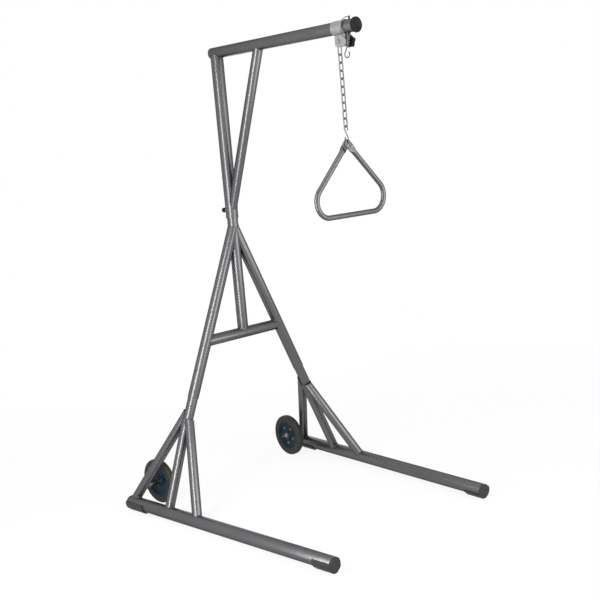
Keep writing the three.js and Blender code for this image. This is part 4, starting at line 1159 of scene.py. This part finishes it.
pivot_height, tip_height = neck_top - 6.5, pin_length - 3 - bail_radius
beside, bail_side, bail_reach = pin_radius + bail_radius + 0.35, 9.0, 27.6
shares = [
    (-bail_side, 0.97 * pivot_height, 0.4), (-bail_side, 0.62 * pivot_height, 0.93),
    (-bail_side, 0, 1.0), (-bail_side, 0.62 * tip_height, 0.8), (-beside, 0.97 * tip_height, 0.35),
]
bail_places = [(5.5, pivot_height, 0), (-5.5, pivot_height, 0), (-bail_side, pivot_height, bail_radius)]
bail_places += [(x, height, share * bail_reach) for x, height, share in shares]
bail_places += [(-beside, tip_height, -pin_radius)]
bail_points = [pin_point + (x, 0, 0) + height * pin_up + out * pin_out for x, height, out in bail_places]
bail = carried(curve_through(np.array(bail_points)), bail_radius, 12)
dress("pin_bail", bail, "pin_bail", "dark_steel", 80)
print("all", len(made), "pieces")

# %% [markdown]
# The rough solids stay hidden, but each still carries the finish of its slot, so that any of them
# can be shown again in the right colour.

# %% Finishes on the hidden solids
slots_of_nodes = {name: thing["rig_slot"] for thing in made for name in thing.get("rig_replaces", [])}
for name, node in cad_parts.items():
    node.data.materials.clear()
    node.data.materials.append(finishes[slots_of_nodes[name]])
print("nodes dressed", len(slots_of_nodes), "of", len(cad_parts))

# %% [markdown]
# The floor and the world show white to the camera and to glossy surfaces, and give a plain soft
# light to everything else. A narrow tall lamp draws the white line on the upright tubes, a broad
# one beside it their grey side. One behind the stand lights the tops of the base tubes, and a
# weaker one hangs above.

# %% Studio
floor_half, floor_drop = 80.0, 0.0005
paper = Finish(bpy.data.materials.new("floor_paper"))
path = paper.node("ShaderNodeLightPath")
distance = paper.node("ShaderNodeVectorMath", {"operation": "LENGTH"}, {0: paper.place()})["Value"]
camera_share = path["Is Camera Ray"] * paper.span(distance, 1.0, 3.0, 0.88, 1.0)
share = paper.greatest(camera_share, path["Is Glossy Ray"], path["Is Transmission Ray"])
shadowed = paper.node("ShaderNodeBsdfDiffuse", {}, {"Color": (0.86, 0.86, 0.86, 1)})[0]
white = paper.node("ShaderNodeEmission", {}, {"Color": (1, 1, 1, 1), "Strength": 1.0})[0]
mixed = paper.node("ShaderNodeMixShader", {}, {0: share, 1: shadowed, 2: white})[0]
paper.feed(paper.tree.nodes["Material Output"].inputs["Surface"], mixed)
floor_mesh = bpy.data.meshes.new("floor")
corners = [(-1, -1), (1, -1), (1, 1), (-1, 1)]
floor_corners = [(floor_half * x, floor_half * y, -floor_drop) for x, y in corners]
floor_mesh.from_pydata(floor_corners, [], [(0, 1, 2, 3)])
floor_mesh.materials.append(paper.block)
floor = linked("floor", floor_mesh)

world_light = 0.55
world = bpy.data.worlds.new("paper")
bpy.context.scene.world = world
sky = Finish(world)
path = sky.node("ShaderNodeLightPath")
seen = sky.greatest(path["Is Camera Ray"], path["Is Glossy Ray"], path["Is Transmission Ray"])
background = sky.tree.nodes["Background"]
background.inputs["Color"].default_value = (1, 1, 1, 1)
sky.feed(background.inputs["Strength"], sky.span(seen, 0.0, 1.0, world_light, 1.0))


def put(thing, axes, place):
    """Gives an object its own three axes and its place."""
    rows = np.column_stack([*axes, place]).tolist()
    thing.matrix_world = Matrix([*rows, [0, 0, 0, 1]])


def lamp(name, place, aim, size, power):
    """A soft rectangular lamp at a place, turned to aim at a point."""
    light = bpy.data.lights.new(name, "AREA")
    light.shape, light.size, light.size_y, light.energy = "RECTANGLE", *size, power
    thing = linked(name, light)
    thing.visible_camera = False
    towards = unit(np.subtract(aim, place))
    side = unit(np.cross(towards, (0, 0, 1.0)))
    put(thing, (side, np.cross(side, towards), -towards), place)


lamp("strip", (mast_x + 0.54, -1.4, 1.2), (mast_x, 0, 1.2), (0.22, 2.4), 34)
lamp("panel", (mast_x + 2.9, 0.65, 1.2), (mast_x, 0, 1.0), (2.2, 2.3), 55)
lamp("rear", (-2.8, 1.5, 0.7), (0, 0, 0.3), (2.2, 0.9), 30)
lamp("top", (0.3, -0.4, 3.9), (0.1, 0, 0), (1.8, 1.8), 20)

# %% Camera
camera_place = np.array([3129.73794 * millimetre + mast_x, -2.50892, 1.42065])
turn = np.array([1.6550869864504785, 0.6484481534890093, -0.6734597816417014])
focal_pixels, picture_pixels, sensor_width = 980.3146, 600, 36.0
angle = np.linalg.norm(turn)
x, y, z = turn / angle
skew = np.array([[0, -z, y], [z, 0, -x], [-y, x, 0]])
rows = np.eye(3) + math.sin(angle) * skew + (1 - math.cos(angle)) * skew @ skew
camera = bpy.data.cameras.new("camera")
camera.sensor_fit, camera.sensor_width = "HORIZONTAL", sensor_width
camera.lens = focal_pixels / picture_pixels * sensor_width
viewer = linked("camera", camera)
put(viewer, (rows[0], -rows[1], -rows[2]), camera_place)
bpy.context.scene.camera = viewer
bpy.context.scene.view_settings.view_transform = "Standard"
